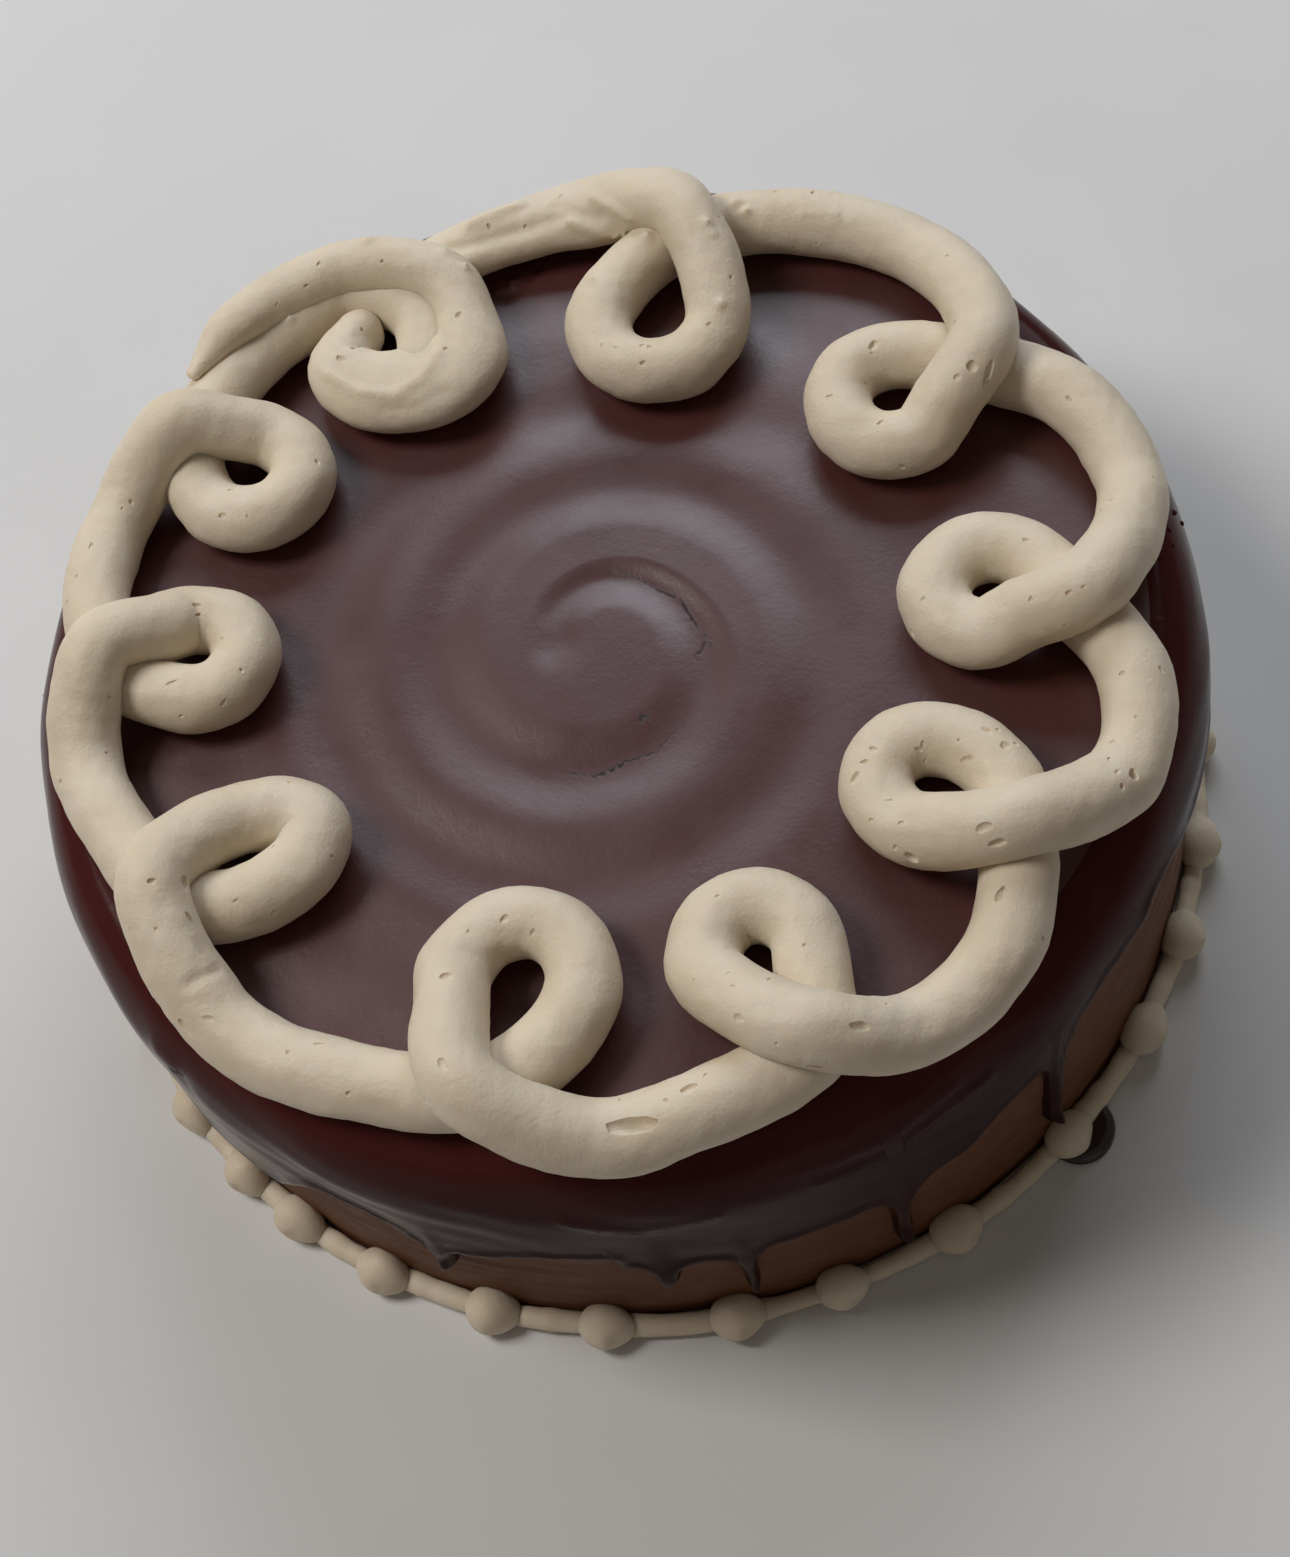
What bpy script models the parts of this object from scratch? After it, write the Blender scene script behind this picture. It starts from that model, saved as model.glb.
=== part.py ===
"""A round chocolate cake: a buttercream side, poured ganache that drips over the edge, a piped scroll of
loops on top, and a piped line with beads round the foot. Metres, +Z up, origin at the middle of the foot."""

from collections import namedtuple
from math import cos, degrees, hypot, pi, radians, sin

import bmesh
import bpy
from mathutils import Vector

MM = 0.001
GAP = 0.3 * MM

# The cake under its ganache
CAKE_RADIUS = 104.0 * MM
TOP_Z = 67.5 * MM
FLAT_RADIUS = 96.0 * MM
SHOULDER_Z = 51.0 * MM
TURN_STEPS = 72

# The ganache
GLAZE_RADIUS = 105.7 * MM
SKIRT_RADIUS = 105.3 * MM
GLAZE_DEPTH = 2.2 * MM
GLAZE_STEP = 6.0
DRIP_PROUD = 0.7 * MM
EDGE_ROLL = 0.3 * MM
DRIP_COLUMNS = (-1.0, -0.65, 0.0, 0.65, 1.0)
SHOULDER_RINGS = 4
CAKE_SHOULDER_STEPS = 3

# Height of the ganache's lower edge at each bearing in degrees, and the drips: bearing, tip, half width
EDGE = ((-168, 30), (-152, 28), (-144, 23), (-132, 40), (-120, 34), (-110, 38), (-97, 32), (-84, 33),
        (-72, 36), (-65, 43), (-58, 47), (-45, 54), (-33, 46), (-5, 41), (25, 37), (55, 42), (85, 35),
        (115, 39), (145, 33))
DRIPS = ((-122.1, 24.2, 1.6), (-100.9, 26.5, 2.2), (-93.6, 15.3, 1.2), (-78.5, 9.6, 1.5), (-60.4, 13.0, 1.3),
         (-18.0, 27.0, 1.8), (8.0, 18.0, 1.4), (40.0, 24.0, 1.8), (98.0, 16.0, 1.5), (129.0, 25.0, 1.8))

# The swirl in the ganache: its centre, and the radius of its spiral groove after each clockwise quarter turn
SWIRL_CENTRE = (0.0 * MM, -5.0 * MM)
GROOVE_RADII = (8.0, 13.5, 14.0, 24.5, 29.5, 33.0, 34.5, 45.0, 50.0, 52.0, 54.0, 60.0)
GROOVE_DEPTHS = (0.0, 0.7, 0.75, 0.85, 0.75, 0.65, 0.65, 0.7, 0.7, 0.5, 0.3, 0.0)
GROOVE_HALF_WIDTH = 7.0
SWIRL_RINGS = (5.0, 10.0, 14.0, 18.0, 23.0, 28.0, 33.0, 38.0, 43.0, 52.0, 72.0)

# The piped rope
ROPE_WIDTH = 12.3 * MM
ROPE_HEIGHT = 12.2 * MM
ROPE_REST = 5.8 * MM
CROSS_LIFT = 8.5 * MM
ROPE_SIDES = 10
ROPE_STEP = 5.85 * MM
SPLINE_STEPS = 12
END_TURNS = (radians(40), radians(70))

# A loop: bearing and radius of its middle, half width, half reach towards the rim, lean in degrees, where it
# crosses itself (along the rim, outwards), how much further out the upper strand crosses, and the radii of
# the run to the next loop
Loop = namedtuple("Loop", "bearing radius half_width half_reach lean along out over run_near run_far")
LOOPS = (
    Loop(138.0, 72.0, 9.0, 9.8, 15, -1.0, 14.0, 0.0, 92.0, 91.5),
    Loop(169.8, 70.0, 8.0, 8.0, 22, 0.0, 15.0, 0.5, 92.0, 89.5),
    Loop(203.8, 73.3, 7.2, 11.8, -10, -2.0, 13.7, 1.5, 95.9, 93.8),
    Loop(246.5, 72.3, 10.6, 11.3, 0, -2.5, 17.5, 2.5, 97.3, 95.0),
    Loop(277.0, 74.0, 8.5, 9.3, 0, 2.0, 17.0, 0.5, 97.0, 95.5),
    Loop(310.0, 71.0, 9.0, 11.3, 0, -1.5, 15.0, 0.5, 95.8, 93.5),
    Loop(342.3, 68.6, 9.0, 9.6, 0, -3.0, 14.5, 2.0, 95.0, 92.5),
    Loop(380.7, 66.3, 10.2, 9.8, 0, -4.5, 16.5, 0.5, 94.0, 91.0),
    Loop(424.5, 63.0, 11.4, 12.0, 0, -1.0, 19.8, 0.0, 92.5, 91.0),
)
# Where the rope lies between the two strands of a loop's crossing: turn in degrees and height above rest
LOOP_TURNS = ((-35, 0.0), (10, 0.0), (50, 0.0), (90, 0.0), (130, 0.0), (170, 1.0), (212, 4.5))

# The rope's first stretch and its smeared last one, then the closing ring piped over them, which runs out
# to a point: x, y, height above rest, width and height of the rope, in millimetres
Dab = namedtuple("Dab", "x y lift width height")
FIRST_STRETCH = (Dab(-17.0, 63.0, 0.0, 11.0, 10.0), Dab(-15.5, 72.7, 0.0, 11.5, 11.5),
                 Dab(-20.0, 80.5, 0.0, 12.0, 12.0), Dab(-28.5, 84.5, 0.0, 12.0, 12.0),
                 Dab(-39.0, 81.0, 0.0, 12.5, 12.2), Dab(-51.0, 74.0, 0.0, 12.5, 12.2))
LAST_STRETCH = (Dab(29.5, 82.8, 4.0, 14.0, 11.5), Dab(21.0, 86.2, 1.0, 15.0, 10.5),
                Dab(11.5, 87.8, 0.0, 14.0, 9.5), Dab(0.5, 87.6, -0.5, 12.5, 9.0),
                Dab(-9.0, 86.0, -0.5, 11.5, 9.0), Dab(-19.0, 85.0, -1.0, 9.0, 8.0))
CLOSING_RING = (Dab(-28.0, 73.5, 0.0, 9.5, 10.5), Dab(-32.5, 67.0, 0.0, 13.5, 12.0),
                Dab(-27.5, 60.0, 0.0, 16.5, 11.8), Dab(-17.0, 57.6, 0.0, 18.5, 11.5),
                Dab(-9.4, 61.0, 0.3, 16.0, 11.8), Dab(-7.5, 68.3, 1.2, 12.5, 12.2),
                Dab(-9.2, 76.8, 3.6, 12.5, 12.2), Dab(-16.5, 82.5, 5.6, 11.5, 10.8),
                Dab(-28.0, 86.2, 5.2, 11.0, 10.5), Dab(-40.0, 83.8, 5.5, 11.0, 9.5),
                Dab(-50.0, 78.8, 7.0, 8.5, 7.5), Dab(-59.0, 71.0, 6.5, 3.0, 2.5))

# The piped line and beads round the foot
LINE_WIDTH = 4.0 * MM
LINE_HEIGHT = 3.6 * MM
LINE_RADIUS = 106.2 * MM
LINE_STEPS = 72
LINE_SIDES = 5
BEAD_RADIUS = 106.8 * MM
BEAD_SIZE = (9.8 * MM, 8.4 * MM, 8.8 * MM)
BEAD_SQUASH = 0.42
BEADS_SEEN = (-159.2, -149.8, -142.3, -131.8, -120.0, -108.8, -96.2, -85.9, -73.7, -59.3, -46.1, -35.3,
              -24.8)
BEADS_BEHIND = 18
FOOT_LIFT = 0.15 * MM

# The little pool of ganache that ran out past the line
POOL_BEARING = -57.8
POOL_RADIUS_AT = 107.0 * MM
POOL_SIZE = 6.5 * MM
POOL_DEPTH = 1.3 * MM


def clear_scene():
    for found in list(bpy.data.objects):
        bpy.data.objects.remove(found, do_unlink=True)


def new_collection(name):
    made = bpy.data.collections.new(name)
    bpy.context.scene.collection.children.link(made)
    return made


def material(name, colour, roughness):
    made = bpy.data.materials.new(name)
    made.use_nodes = True
    shader = made.node_tree.nodes["Principled BSDF"]
    shader.inputs["Base Color"].default_value = (*colour, 1.0)
    shader.inputs["Roughness"].default_value = roughness
    shader.inputs["Metallic"].default_value = 0.0
    return made


def object_from(bm, name, collection, finish=None):
    """A new object that holds the bmesh, with its faces turned outwards and shaded smooth."""
    bmesh.ops.recalc_face_normals(bm, faces=bm.faces)
    mesh = bpy.data.meshes.new(name)
    bm.to_mesh(mesh)
    bm.free()
    mesh.shade_smooth()
    if finish:
        mesh.materials.append(finish)
    made = bpy.data.objects.new(name, mesh)
    collection.objects.link(made)
    return made


def loft(rings, closed_ends=True):
    """Skin of a row of rings with equal counts; the first and last may be one point, or else are capped."""
    bm = bmesh.new()
    rows = [[bm.verts.new(point) for point in ring] for ring in rings]
    for near, far in zip(rows, rows[1:]):
        count = max(len(near), len(far))
        for i in range(count):
            j = (i + 1) % count
            corners = [near[i % len(near)], near[j % len(near)], far[j % len(far)], far[i % len(far)]]
            bm.faces.new(dict.fromkeys(corners))
    for end in (rows[0], rows[-1]):
        if closed_ends and len(end) > 1:
            bm.faces.new(end)
    return bm


def apply_modifiers(target):
    """The object's own mesh takes the shape that its modifiers give it."""
    graph = bpy.context.evaluated_depsgraph_get()
    mesh = bpy.data.meshes.new_from_object(target.evaluated_get(graph))
    target.modifiers.clear()
    target.data = mesh


def join(target, pieces):
    """Fuses a collection of shapes into the target and removes them."""
    union = target.modifiers.new("join", "BOOLEAN")
    union.operation = "UNION"
    union.operand_type = "COLLECTION"
    union.collection = pieces
    union.solver = "EXACT"
    union.use_self = True
    bpy.context.view_layer.update()
    apply_modifiers(target)
    for piece in list(pieces.objects):
        bpy.data.objects.remove(piece, do_unlink=True)
    bpy.data.collections.remove(pieces)


def blend(low, high, share):
    """Smooth step from low to high as share runs from 0 to 1."""
    share = min(max(share, 0.0), 1.0)
    return low + (high - low) * share * share * (3 - 2 * share)


def shoulder(radius, top, flat_radius, crease_z, share):
    """Radius and height on the rounded shoulder, from the flat top (share 0) to the crease (share 1)."""
    turn = share * pi / 2
    return flat_radius + (radius - flat_radius) * sin(turn), crease_z + (top - crease_z) * cos(turn)


def turned(name, profile, collection, finish):
    """A solid of revolution: the profile, top to bottom, swept round Z by a Screw modifier."""
    mesh = bpy.data.meshes.new(name)
    mesh.from_pydata([(r, 0.0, z) for r, z in profile], [(i, i + 1) for i in range(len(profile) - 1)], [])
    mesh.materials.append(finish)
    made = bpy.data.objects.new(name, mesh)
    collection.objects.link(made)
    screw = made.modifiers.new("turn", "SCREW")
    screw.steps = TURN_STEPS
    screw.render_steps = TURN_STEPS
    screw.use_merge_vertices = True
    screw.merge_threshold = 0.01 * MM
    screw.use_smooth_shade = True
    return made


def cake_body(collection, finish):
    """The cake itself, solid, with its coat of chocolate buttercream."""
    top = TOP_Z - GLAZE_DEPTH - GAP
    profile = [(0.0, top)]
    for i in range(CAKE_SHOULDER_STEPS + 1):
        share = i / CAKE_SHOULDER_STEPS
        profile.append(shoulder(CAKE_RADIUS, top, FLAT_RADIUS, SHOULDER_Z - GAP, share))
    profile += [(CAKE_RADIUS, 0.0), (0.0, 0.0)]
    return turned("cake_body", profile, collection, finish)


def glaze_bearings():
    """Bearings of the ganache's columns: even steps, and five across each drip."""
    count = round(360 / GLAZE_STEP)
    even = [i * GLAZE_STEP - 180.0 for i in range(count)]
    fine = [bearing + half * share for bearing, _, half in DRIPS for share in DRIP_COLUMNS]
    clear = [b for b in even if min(abs(b - f) for f in fine) > 0.25 * GLAZE_STEP]
    return sorted(clear + fine)


def drip_share(bearing, at, half):
    """1 in the middle of a drip, 0 beyond its sides."""
    away = abs((bearing - at + 180) % 360 - 180) / half
    return blend(1.0, 0.0, (away - 0.5) / 0.5)


def edge_height(bearing):
    """Height of the ganache's lower edge at a bearing, drips included."""
    points = list(EDGE) + [(EDGE[0][0] + 360, EDGE[0][1])]
    turn = (bearing - EDGE[0][0]) % 360 + EDGE[0][0]
    for (b0, z0), (b1, z1) in zip(points, points[1:]):
        if b0 <= turn <= b1:
            height = blend(z0, z1, (turn - b0) / (b1 - b0))
    for at, tip, half in DRIPS:
        height += (tip - height) * drip_share(bearing, at, half)
    return height * MM


def skirt_radius(bearing):
    """Radius of the ganache's lower edge, which stands proud at the tip of a drip."""
    return SKIRT_RADIUS + DRIP_PROUD * max(drip_share(bearing, at, half) for at, _, half in DRIPS)


def swirl_relief(x, y):
    """Depth of the ganache below its crests at a point of the top, from the spiral groove."""
    dx, dy = x - SWIRL_CENTRE[0], y - SWIRL_CENTRE[1]
    out = hypot(dx, dy) / MM
    bearing = degrees(Vector((dx, dy)).angle_signed(Vector((-1, 0)), 0.0)) if out else 0.0
    deepest = 0.0
    turns = (-bearing % 360) / 90
    while turns <= len(GROOVE_RADII) - 1:
        i = min(int(turns), len(GROOVE_RADII) - 2)
        groove = blend(GROOVE_RADII[i], GROOVE_RADII[i + 1], turns - i)
        depth = blend(GROOVE_DEPTHS[i], GROOVE_DEPTHS[i + 1], turns - i)
        deepest = max(deepest, blend(depth, 0.0, abs(out - groove) / GROOVE_HALF_WIDTH))
        turns += 4
    return deepest * MM


def glaze_columns(bearings, radius, height):
    """A ring of points at the bearings, with radius and height as functions of the bearing."""
    ring = []
    for bearing in bearings:
        turn = radians(bearing)
        out = radius(bearing)
        ring.append((out * cos(turn), out * sin(turn), height(bearing)))
    return ring


def above_edge(height, rolls):
    """A height as a function of the bearing that stays a few edge rolls above the ganache's lower edge."""
    return lambda bearing: max(height, edge_height(bearing) + rolls * EDGE_ROLL)


def ganache_glaze(collection, finish):
    """The poured cap: swirled top, round shoulder, skirt with drips, and a smooth inner face on the cake."""
    bearings = glaze_bearings()
    rings = [[(0.0, 0.0, TOP_Z - swirl_relief(0.0, 0.0))]]
    for radius in SWIRL_RINGS:
        ring = glaze_columns(bearings, lambda b: radius * MM, lambda b: TOP_Z)
        rings.append([(x, y, z - swirl_relief(x, y)) for x, y, z in ring])
    for i in range(SHOULDER_RINGS + 1):
        out, height = shoulder(GLAZE_RADIUS, TOP_Z, FLAT_RADIUS, SHOULDER_Z, i / SHOULDER_RINGS)
        rings.append(glaze_columns(bearings, lambda b: out, above_edge(height, 4)))
    rings.append(glaze_columns(bearings, skirt_radius, edge_height))
    inner = CAKE_RADIUS + GAP
    rings.append(glaze_columns(bearings, lambda b: inner, lambda b: edge_height(b) + EDGE_ROLL))
    under = TOP_Z - GLAZE_DEPTH
    for i in range(CAKE_SHOULDER_STEPS, -1, -1):
        out, height = shoulder(inner, under, FLAT_RADIUS, SHOULDER_Z, i / CAKE_SHOULDER_STEPS)
        rings.append(glaze_columns(bearings, lambda b: out, above_edge(height, 2)))
    rings.append([(0.0, 0.0, under)])
    return object_from(loft(rings), "ganache_glaze", collection, finish)


def top_surface(x, y):
    """Height of the ganache under the rope: flat, then falling over the shoulder."""
    out = hypot(x, y)
    if out <= FLAT_RADIUS:
        return TOP_Z
    share = min((out - FLAT_RADIUS) / (GLAZE_RADIUS - FLAT_RADIUS), 1.0)
    return SHOULDER_Z + (TOP_Z - SHOULDER_Z) * (1 - share * share) ** 0.5


def plain_dab(point, lift=0.0):
    """A control point of the rope at its usual thickness; the loops above are in millimetres."""
    return Dab(point.x, point.y, lift / MM, ROPE_WIDTH / MM, ROPE_HEIGHT / MM)


def main_stroke():
    """Control points of the long stroke: its first stretch, the loops with runs between them, its end."""
    points = list(FIRST_STRETCH)
    for loop, following in zip(LOOPS, LOOPS[1:] + (None,)):
        turn = radians(loop.bearing)
        outwards = Vector((cos(turn), sin(turn)))
        along = Vector((-sin(turn), cos(turn)))
        lean = radians(loop.lean)
        side = along * cos(lean) - outwards * sin(lean)
        reach = outwards * cos(lean) + along * sin(lean)
        middle = outwards * loop.radius
        cross = middle + along * loop.along + outwards * loop.out
        points.append(plain_dab(cross))
        for degrees_round, lift in LOOP_TURNS:
            round_loop = radians(degrees_round)
            spot = side * loop.half_width * cos(round_loop) - reach * loop.half_reach * sin(round_loop)
            points.append(plain_dab(middle + spot, lift * MM))
        points.append(plain_dab(cross + (outwards - along / 2) * loop.over, CROSS_LIFT))
        if following:
            gap = following.bearing - loop.bearing
            for share, radius in ((0.32, loop.run_near), (0.66, loop.run_far)):
                run = radians(loop.bearing + gap * share)
                points.append(plain_dab(Vector((cos(run), sin(run))) * radius))
    return points + list(LAST_STRETCH)


def centripetal(points):
    """Points of a centripetal Catmull-Rom spline through the given ones, as dabs."""
    ends = [points[0]] + list(points) + [points[-1]]
    found = []
    for p0, p1, p2, p3 in zip(ends, ends[1:], ends[2:], ends[3:]):
        knots = [0.0]
        for a, b in ((p0, p1), (p1, p2), (p2, p3)):
            away = Vector(a[:3]) - Vector(b[:3])
            knots.append(knots[-1] + max(away.length, 1e-4) ** 0.5)
        t0, t1, t2, t3 = knots
        for step in range(SPLINE_STEPS):
            t = t1 + (t2 - t1) * step / SPLINE_STEPS

            def mix(a, b, start, end):
                share = (t - start) / (end - start)
                return tuple(u + (v - u) * share for u, v in zip(a, b))

            a1, a2, a3 = mix(p0, p1, t0, t1), mix(p1, p2, t1, t2), mix(p2, p3, t2, t3)
            found.append(Dab(*mix(mix(a1, a2, t0, t2), mix(a2, a3, t1, t3), t1, t2)))
    return found + [points[-1]]


def even_steps(path, step):
    """The path resampled at equal steps along its length."""
    lengths = [0.0]
    for a, b in zip(path, path[1:]):
        lengths.append(lengths[-1] + (Vector(a[:3]) - Vector(b[:3])).length)
    count = round(lengths[-1] / step)
    found = []
    i = 0
    for k in range(count + 1):
        at = lengths[-1] * k / count
        while i < len(path) - 2 and lengths[i + 1] < at:
            i += 1
        share = (at - lengths[i]) / max(lengths[i + 1] - lengths[i], 1e-6)
        found.append(Dab(*(u + (v - u) * share for u, v in zip(path[i], path[i + 1]))))
    return found


def rope_rings(stroke, blunt_end):
    """Rings of the rope along a stroke: an oval that rests flat where it lies on the ganache."""
    path = even_steps(centripetal(stroke), ROPE_STEP / MM)
    centres = [Vector((d.x * MM, d.y * MM, 0.0)) for d in path]
    for centre, dab in zip(centres, path):
        centre.z = top_surface(centre.x, centre.y) + ROPE_REST + dab.lift * MM
    rings = []
    for i, (centre, dab) in enumerate(zip(centres, path)):
        ahead = (centres[min(i + 1, len(path) - 1)] - centres[max(i - 1, 0)]).normalized()
        side = ahead.cross(Vector((0, 0, 1))).normalized()
        up = side.cross(ahead)
        ring = []
        for k in range(ROPE_SIDES):
            turn = 2 * pi * (k + 0.5) / ROPE_SIDES
            point = centre + side * cos(turn) * dab.width * MM / 2 + up * sin(turn) * dab.height * MM / 2
            point.z = max(point.z, top_surface(point.x, point.y) + GAP)
            ring.append(point)
        rings.append(ring)
    capped = [rounded_end(rings[0], centres[0] - centres[1])[::-1], rings]
    capped.append(rounded_end(rings[-1], centres[-1] - centres[-2]) if blunt_end else [])
    return [ring for group in capped for ring in group]


def rounded_end(ring, outwards):
    """Two shrinking rings and a tip that close the rope with a round end."""
    middle = sum((Vector(point) for point in ring), Vector()) / len(ring)
    reach = outwards.normalized() * ROPE_HEIGHT / 2
    found = []
    for turn in END_TURNS:
        found.append([middle + (point - middle) * cos(turn) + reach * sin(turn) for point in ring])
    lowest = min(point.z for point in ring)
    for row in found:
        for point in row:
            point.z = max(point.z, lowest)
    return found + [[middle + reach]]


def scroll_rope(collection, finish):
    """The whole piped scroll: a long looping stroke and the closing ring, fused where they touch."""
    rope = object_from(loft(rope_rings(main_stroke(), True)), "scroll_rope", collection, finish)
    strokes = new_collection("strokes")
    object_from(loft(rope_rings(CLOSING_RING, False)), "closing_ring", strokes)
    join(rope, strokes)
    return rope


def press_against_cake(bm, wall, floor):
    """Flattens a piped shape where it touches the side of the cake and the surface it stands on."""
    for vert in bm.verts:
        out = hypot(vert.co.x, vert.co.y)
        if out < wall:
            vert.co.x *= wall / out
            vert.co.y *= wall / out
        vert.co.z = max(vert.co.z, floor)


def bead_bearings():
    """The beads' bearings: those seen, then an even run round the back."""
    first, last = BEADS_SEEN[-1], BEADS_SEEN[0] + 360
    step = (last - first) / (BEADS_BEHIND + 1)
    return list(BEADS_SEEN) + [first + step * (i + 1) for i in range(BEADS_BEHIND)]


def bead(bearing, collection):
    """One piped bead, a dollop pressed against the cake."""
    bm = bmesh.new()
    bmesh.ops.create_uvsphere(bm, u_segments=7, v_segments=5, radius=0.5)
    turn = radians(bearing)
    along, outwards = Vector((-sin(turn), cos(turn), 0)), Vector((cos(turn), sin(turn), 0))
    middle = outwards * BEAD_RADIUS + Vector((0, 0, BEAD_SIZE[2] * BEAD_SQUASH))
    for vert in bm.verts:
        x, y, z = (part * size for part, size in zip(vert.co, BEAD_SIZE))
        vert.co = middle + along * x + outwards * y + Vector((0, 0, z))
    press_against_cake(bm, CAKE_RADIUS + GAP, 0.0)
    return object_from(bm, "bead", collection)


def line_rings():
    """Rings of the thin line round the foot, as a closed tube that sags a little."""
    for i in range(LINE_STEPS):
        turn = 2 * pi * i / LINE_STEPS
        ring = []
        for k in range(LINE_SIDES):
            lie = 2 * pi * k / LINE_SIDES
            out = LINE_RADIUS + cos(lie) * LINE_WIDTH / 2
            ring.append((out * cos(turn), out * sin(turn), LINE_HEIGHT / 2 * (1 + sin(lie))))
        yield ring


def base_border(collection, finish):
    """The piped line round the foot with its beads, fused into one piece."""
    rings = list(line_rings())
    bm = loft(rings + [rings[0]], closed_ends=False)
    bmesh.ops.remove_doubles(bm, verts=bm.verts, dist=0.001 * MM)
    press_against_cake(bm, CAKE_RADIUS + 1.5 * GAP, FOOT_LIFT)
    border = object_from(bm, "base_border", collection, finish)
    beads = new_collection("beads")
    for bearing in bead_bearings():
        bead(bearing, beads)
    join(border, beads)
    return border


def cylinder_at(name, bearing, out, radius, depth, low, steps, collection, finish=None):
    """An upright cylinder whose middle stands at a bearing and distance from the cake's axis."""
    bm = bmesh.new()
    bmesh.ops.create_cone(bm, cap_ends=True, segments=steps, radius1=radius, radius2=radius, depth=depth)
    turn = radians(bearing)
    bmesh.ops.translate(bm, verts=bm.verts, vec=(out * cos(turn), out * sin(turn), low + depth / 2))
    return object_from(bm, name, collection, finish)


def ganache_pool(collection, cutters, finish):
    """The flat pool beside the foot, a disc cut off along the line and round the bead next to it."""
    pool = cylinder_at("ganache_pool", POOL_BEARING, POOL_RADIUS_AT, POOL_SIZE, POOL_DEPTH, 0.0, 28,
                       collection, finish)
    beside = min(BEADS_SEEN, key=lambda bearing: abs(bearing - POOL_BEARING))
    line_reach = LINE_RADIUS + LINE_WIDTH / 2 + GAP
    bead_reach = BEAD_SIZE[0] / 2 + GAP
    cuts = [
        cylinder_at("line_cut", 0.0, 0.0, line_reach, 4 * POOL_DEPTH, -POOL_DEPTH, 144, cutters),
        cylinder_at("bead_cut", beside, BEAD_RADIUS, bead_reach, 4 * POOL_DEPTH, -POOL_DEPTH, 24, cutters),
    ]
    for cutter in cuts:
        cutter.hide_render = True
        cutter.display_type = "WIRE"
        cut = pool.modifiers.new(cutter.name, "BOOLEAN")
        cut.operation = "DIFFERENCE"
        cut.solver = "EXACT"
        cut.object = cutter
    return pool


def main():
    clear_scene()
    cake = new_collection("chocolate_cake")
    cutters = new_collection("cutters")
    side = material("chocolate_buttercream", (0.100, 0.046, 0.022), 0.62)
    dark = material("dark_ganache", (0.030, 0.012, 0.009), 0.34)
    cream = material("ivory_buttercream", (0.600, 0.480, 0.330), 0.55)
    pooled = material("pooled_ganache", (0.022, 0.009, 0.006), 0.25)
    cake_body(cake, side)
    ganache_glaze(cake, dark)
    scroll_rope(cake, cream)
    base_border(cake, material("ivory_buttercream_foot", (0.560, 0.450, 0.310), 0.55))
    ganache_pool(cake, cutters, pooled)


main()
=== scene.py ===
"""The looks of the chocolate cake: fine meshes of the same form as its solids, their materials, a pale
floor, soft light and the camera. Metres, +Z up, origin at the middle of the foot."""

from collections import namedtuple
from math import cos, pi, radians, sin

import bmesh
import bpy
import numpy as np
from mathutils import Matrix, Vector
from mathutils.bvhtree import BVHTree


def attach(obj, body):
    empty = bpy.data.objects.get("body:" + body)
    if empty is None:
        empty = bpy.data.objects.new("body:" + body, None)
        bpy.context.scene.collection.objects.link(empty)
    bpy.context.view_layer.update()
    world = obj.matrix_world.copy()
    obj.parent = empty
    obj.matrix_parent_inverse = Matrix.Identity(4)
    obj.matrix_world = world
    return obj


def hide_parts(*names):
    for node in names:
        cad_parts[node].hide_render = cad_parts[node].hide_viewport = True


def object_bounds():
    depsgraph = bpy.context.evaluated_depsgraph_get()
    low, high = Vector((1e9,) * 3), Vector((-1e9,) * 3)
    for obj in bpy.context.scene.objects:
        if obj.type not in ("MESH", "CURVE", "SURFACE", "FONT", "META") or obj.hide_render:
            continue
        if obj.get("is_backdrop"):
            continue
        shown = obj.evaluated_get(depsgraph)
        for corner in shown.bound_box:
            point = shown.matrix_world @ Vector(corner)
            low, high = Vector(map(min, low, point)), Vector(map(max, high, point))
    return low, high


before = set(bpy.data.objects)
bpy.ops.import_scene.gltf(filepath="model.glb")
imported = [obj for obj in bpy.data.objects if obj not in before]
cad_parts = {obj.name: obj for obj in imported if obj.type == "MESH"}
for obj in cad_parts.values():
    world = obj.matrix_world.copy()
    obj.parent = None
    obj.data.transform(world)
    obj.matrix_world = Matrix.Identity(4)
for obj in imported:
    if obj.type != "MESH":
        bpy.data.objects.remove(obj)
cad_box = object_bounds()

MM = 0.001

# The cake and its ganache, as in the solids, in millimetres
CAKE_RADIUS = 104.0
TOP_Z = 67.5
TOP_RIM = 95.0
FLAT_RADIUS = 96.0
SHOULDER_Z = 51.0
GLAZE_RADIUS = 105.7
SKIRT_RADIUS = 105.3
GLAZE_DEPTH = 2.2
CAKE_TOP = TOP_Z - GLAZE_DEPTH
SIDE_GAP = 0.3

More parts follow.
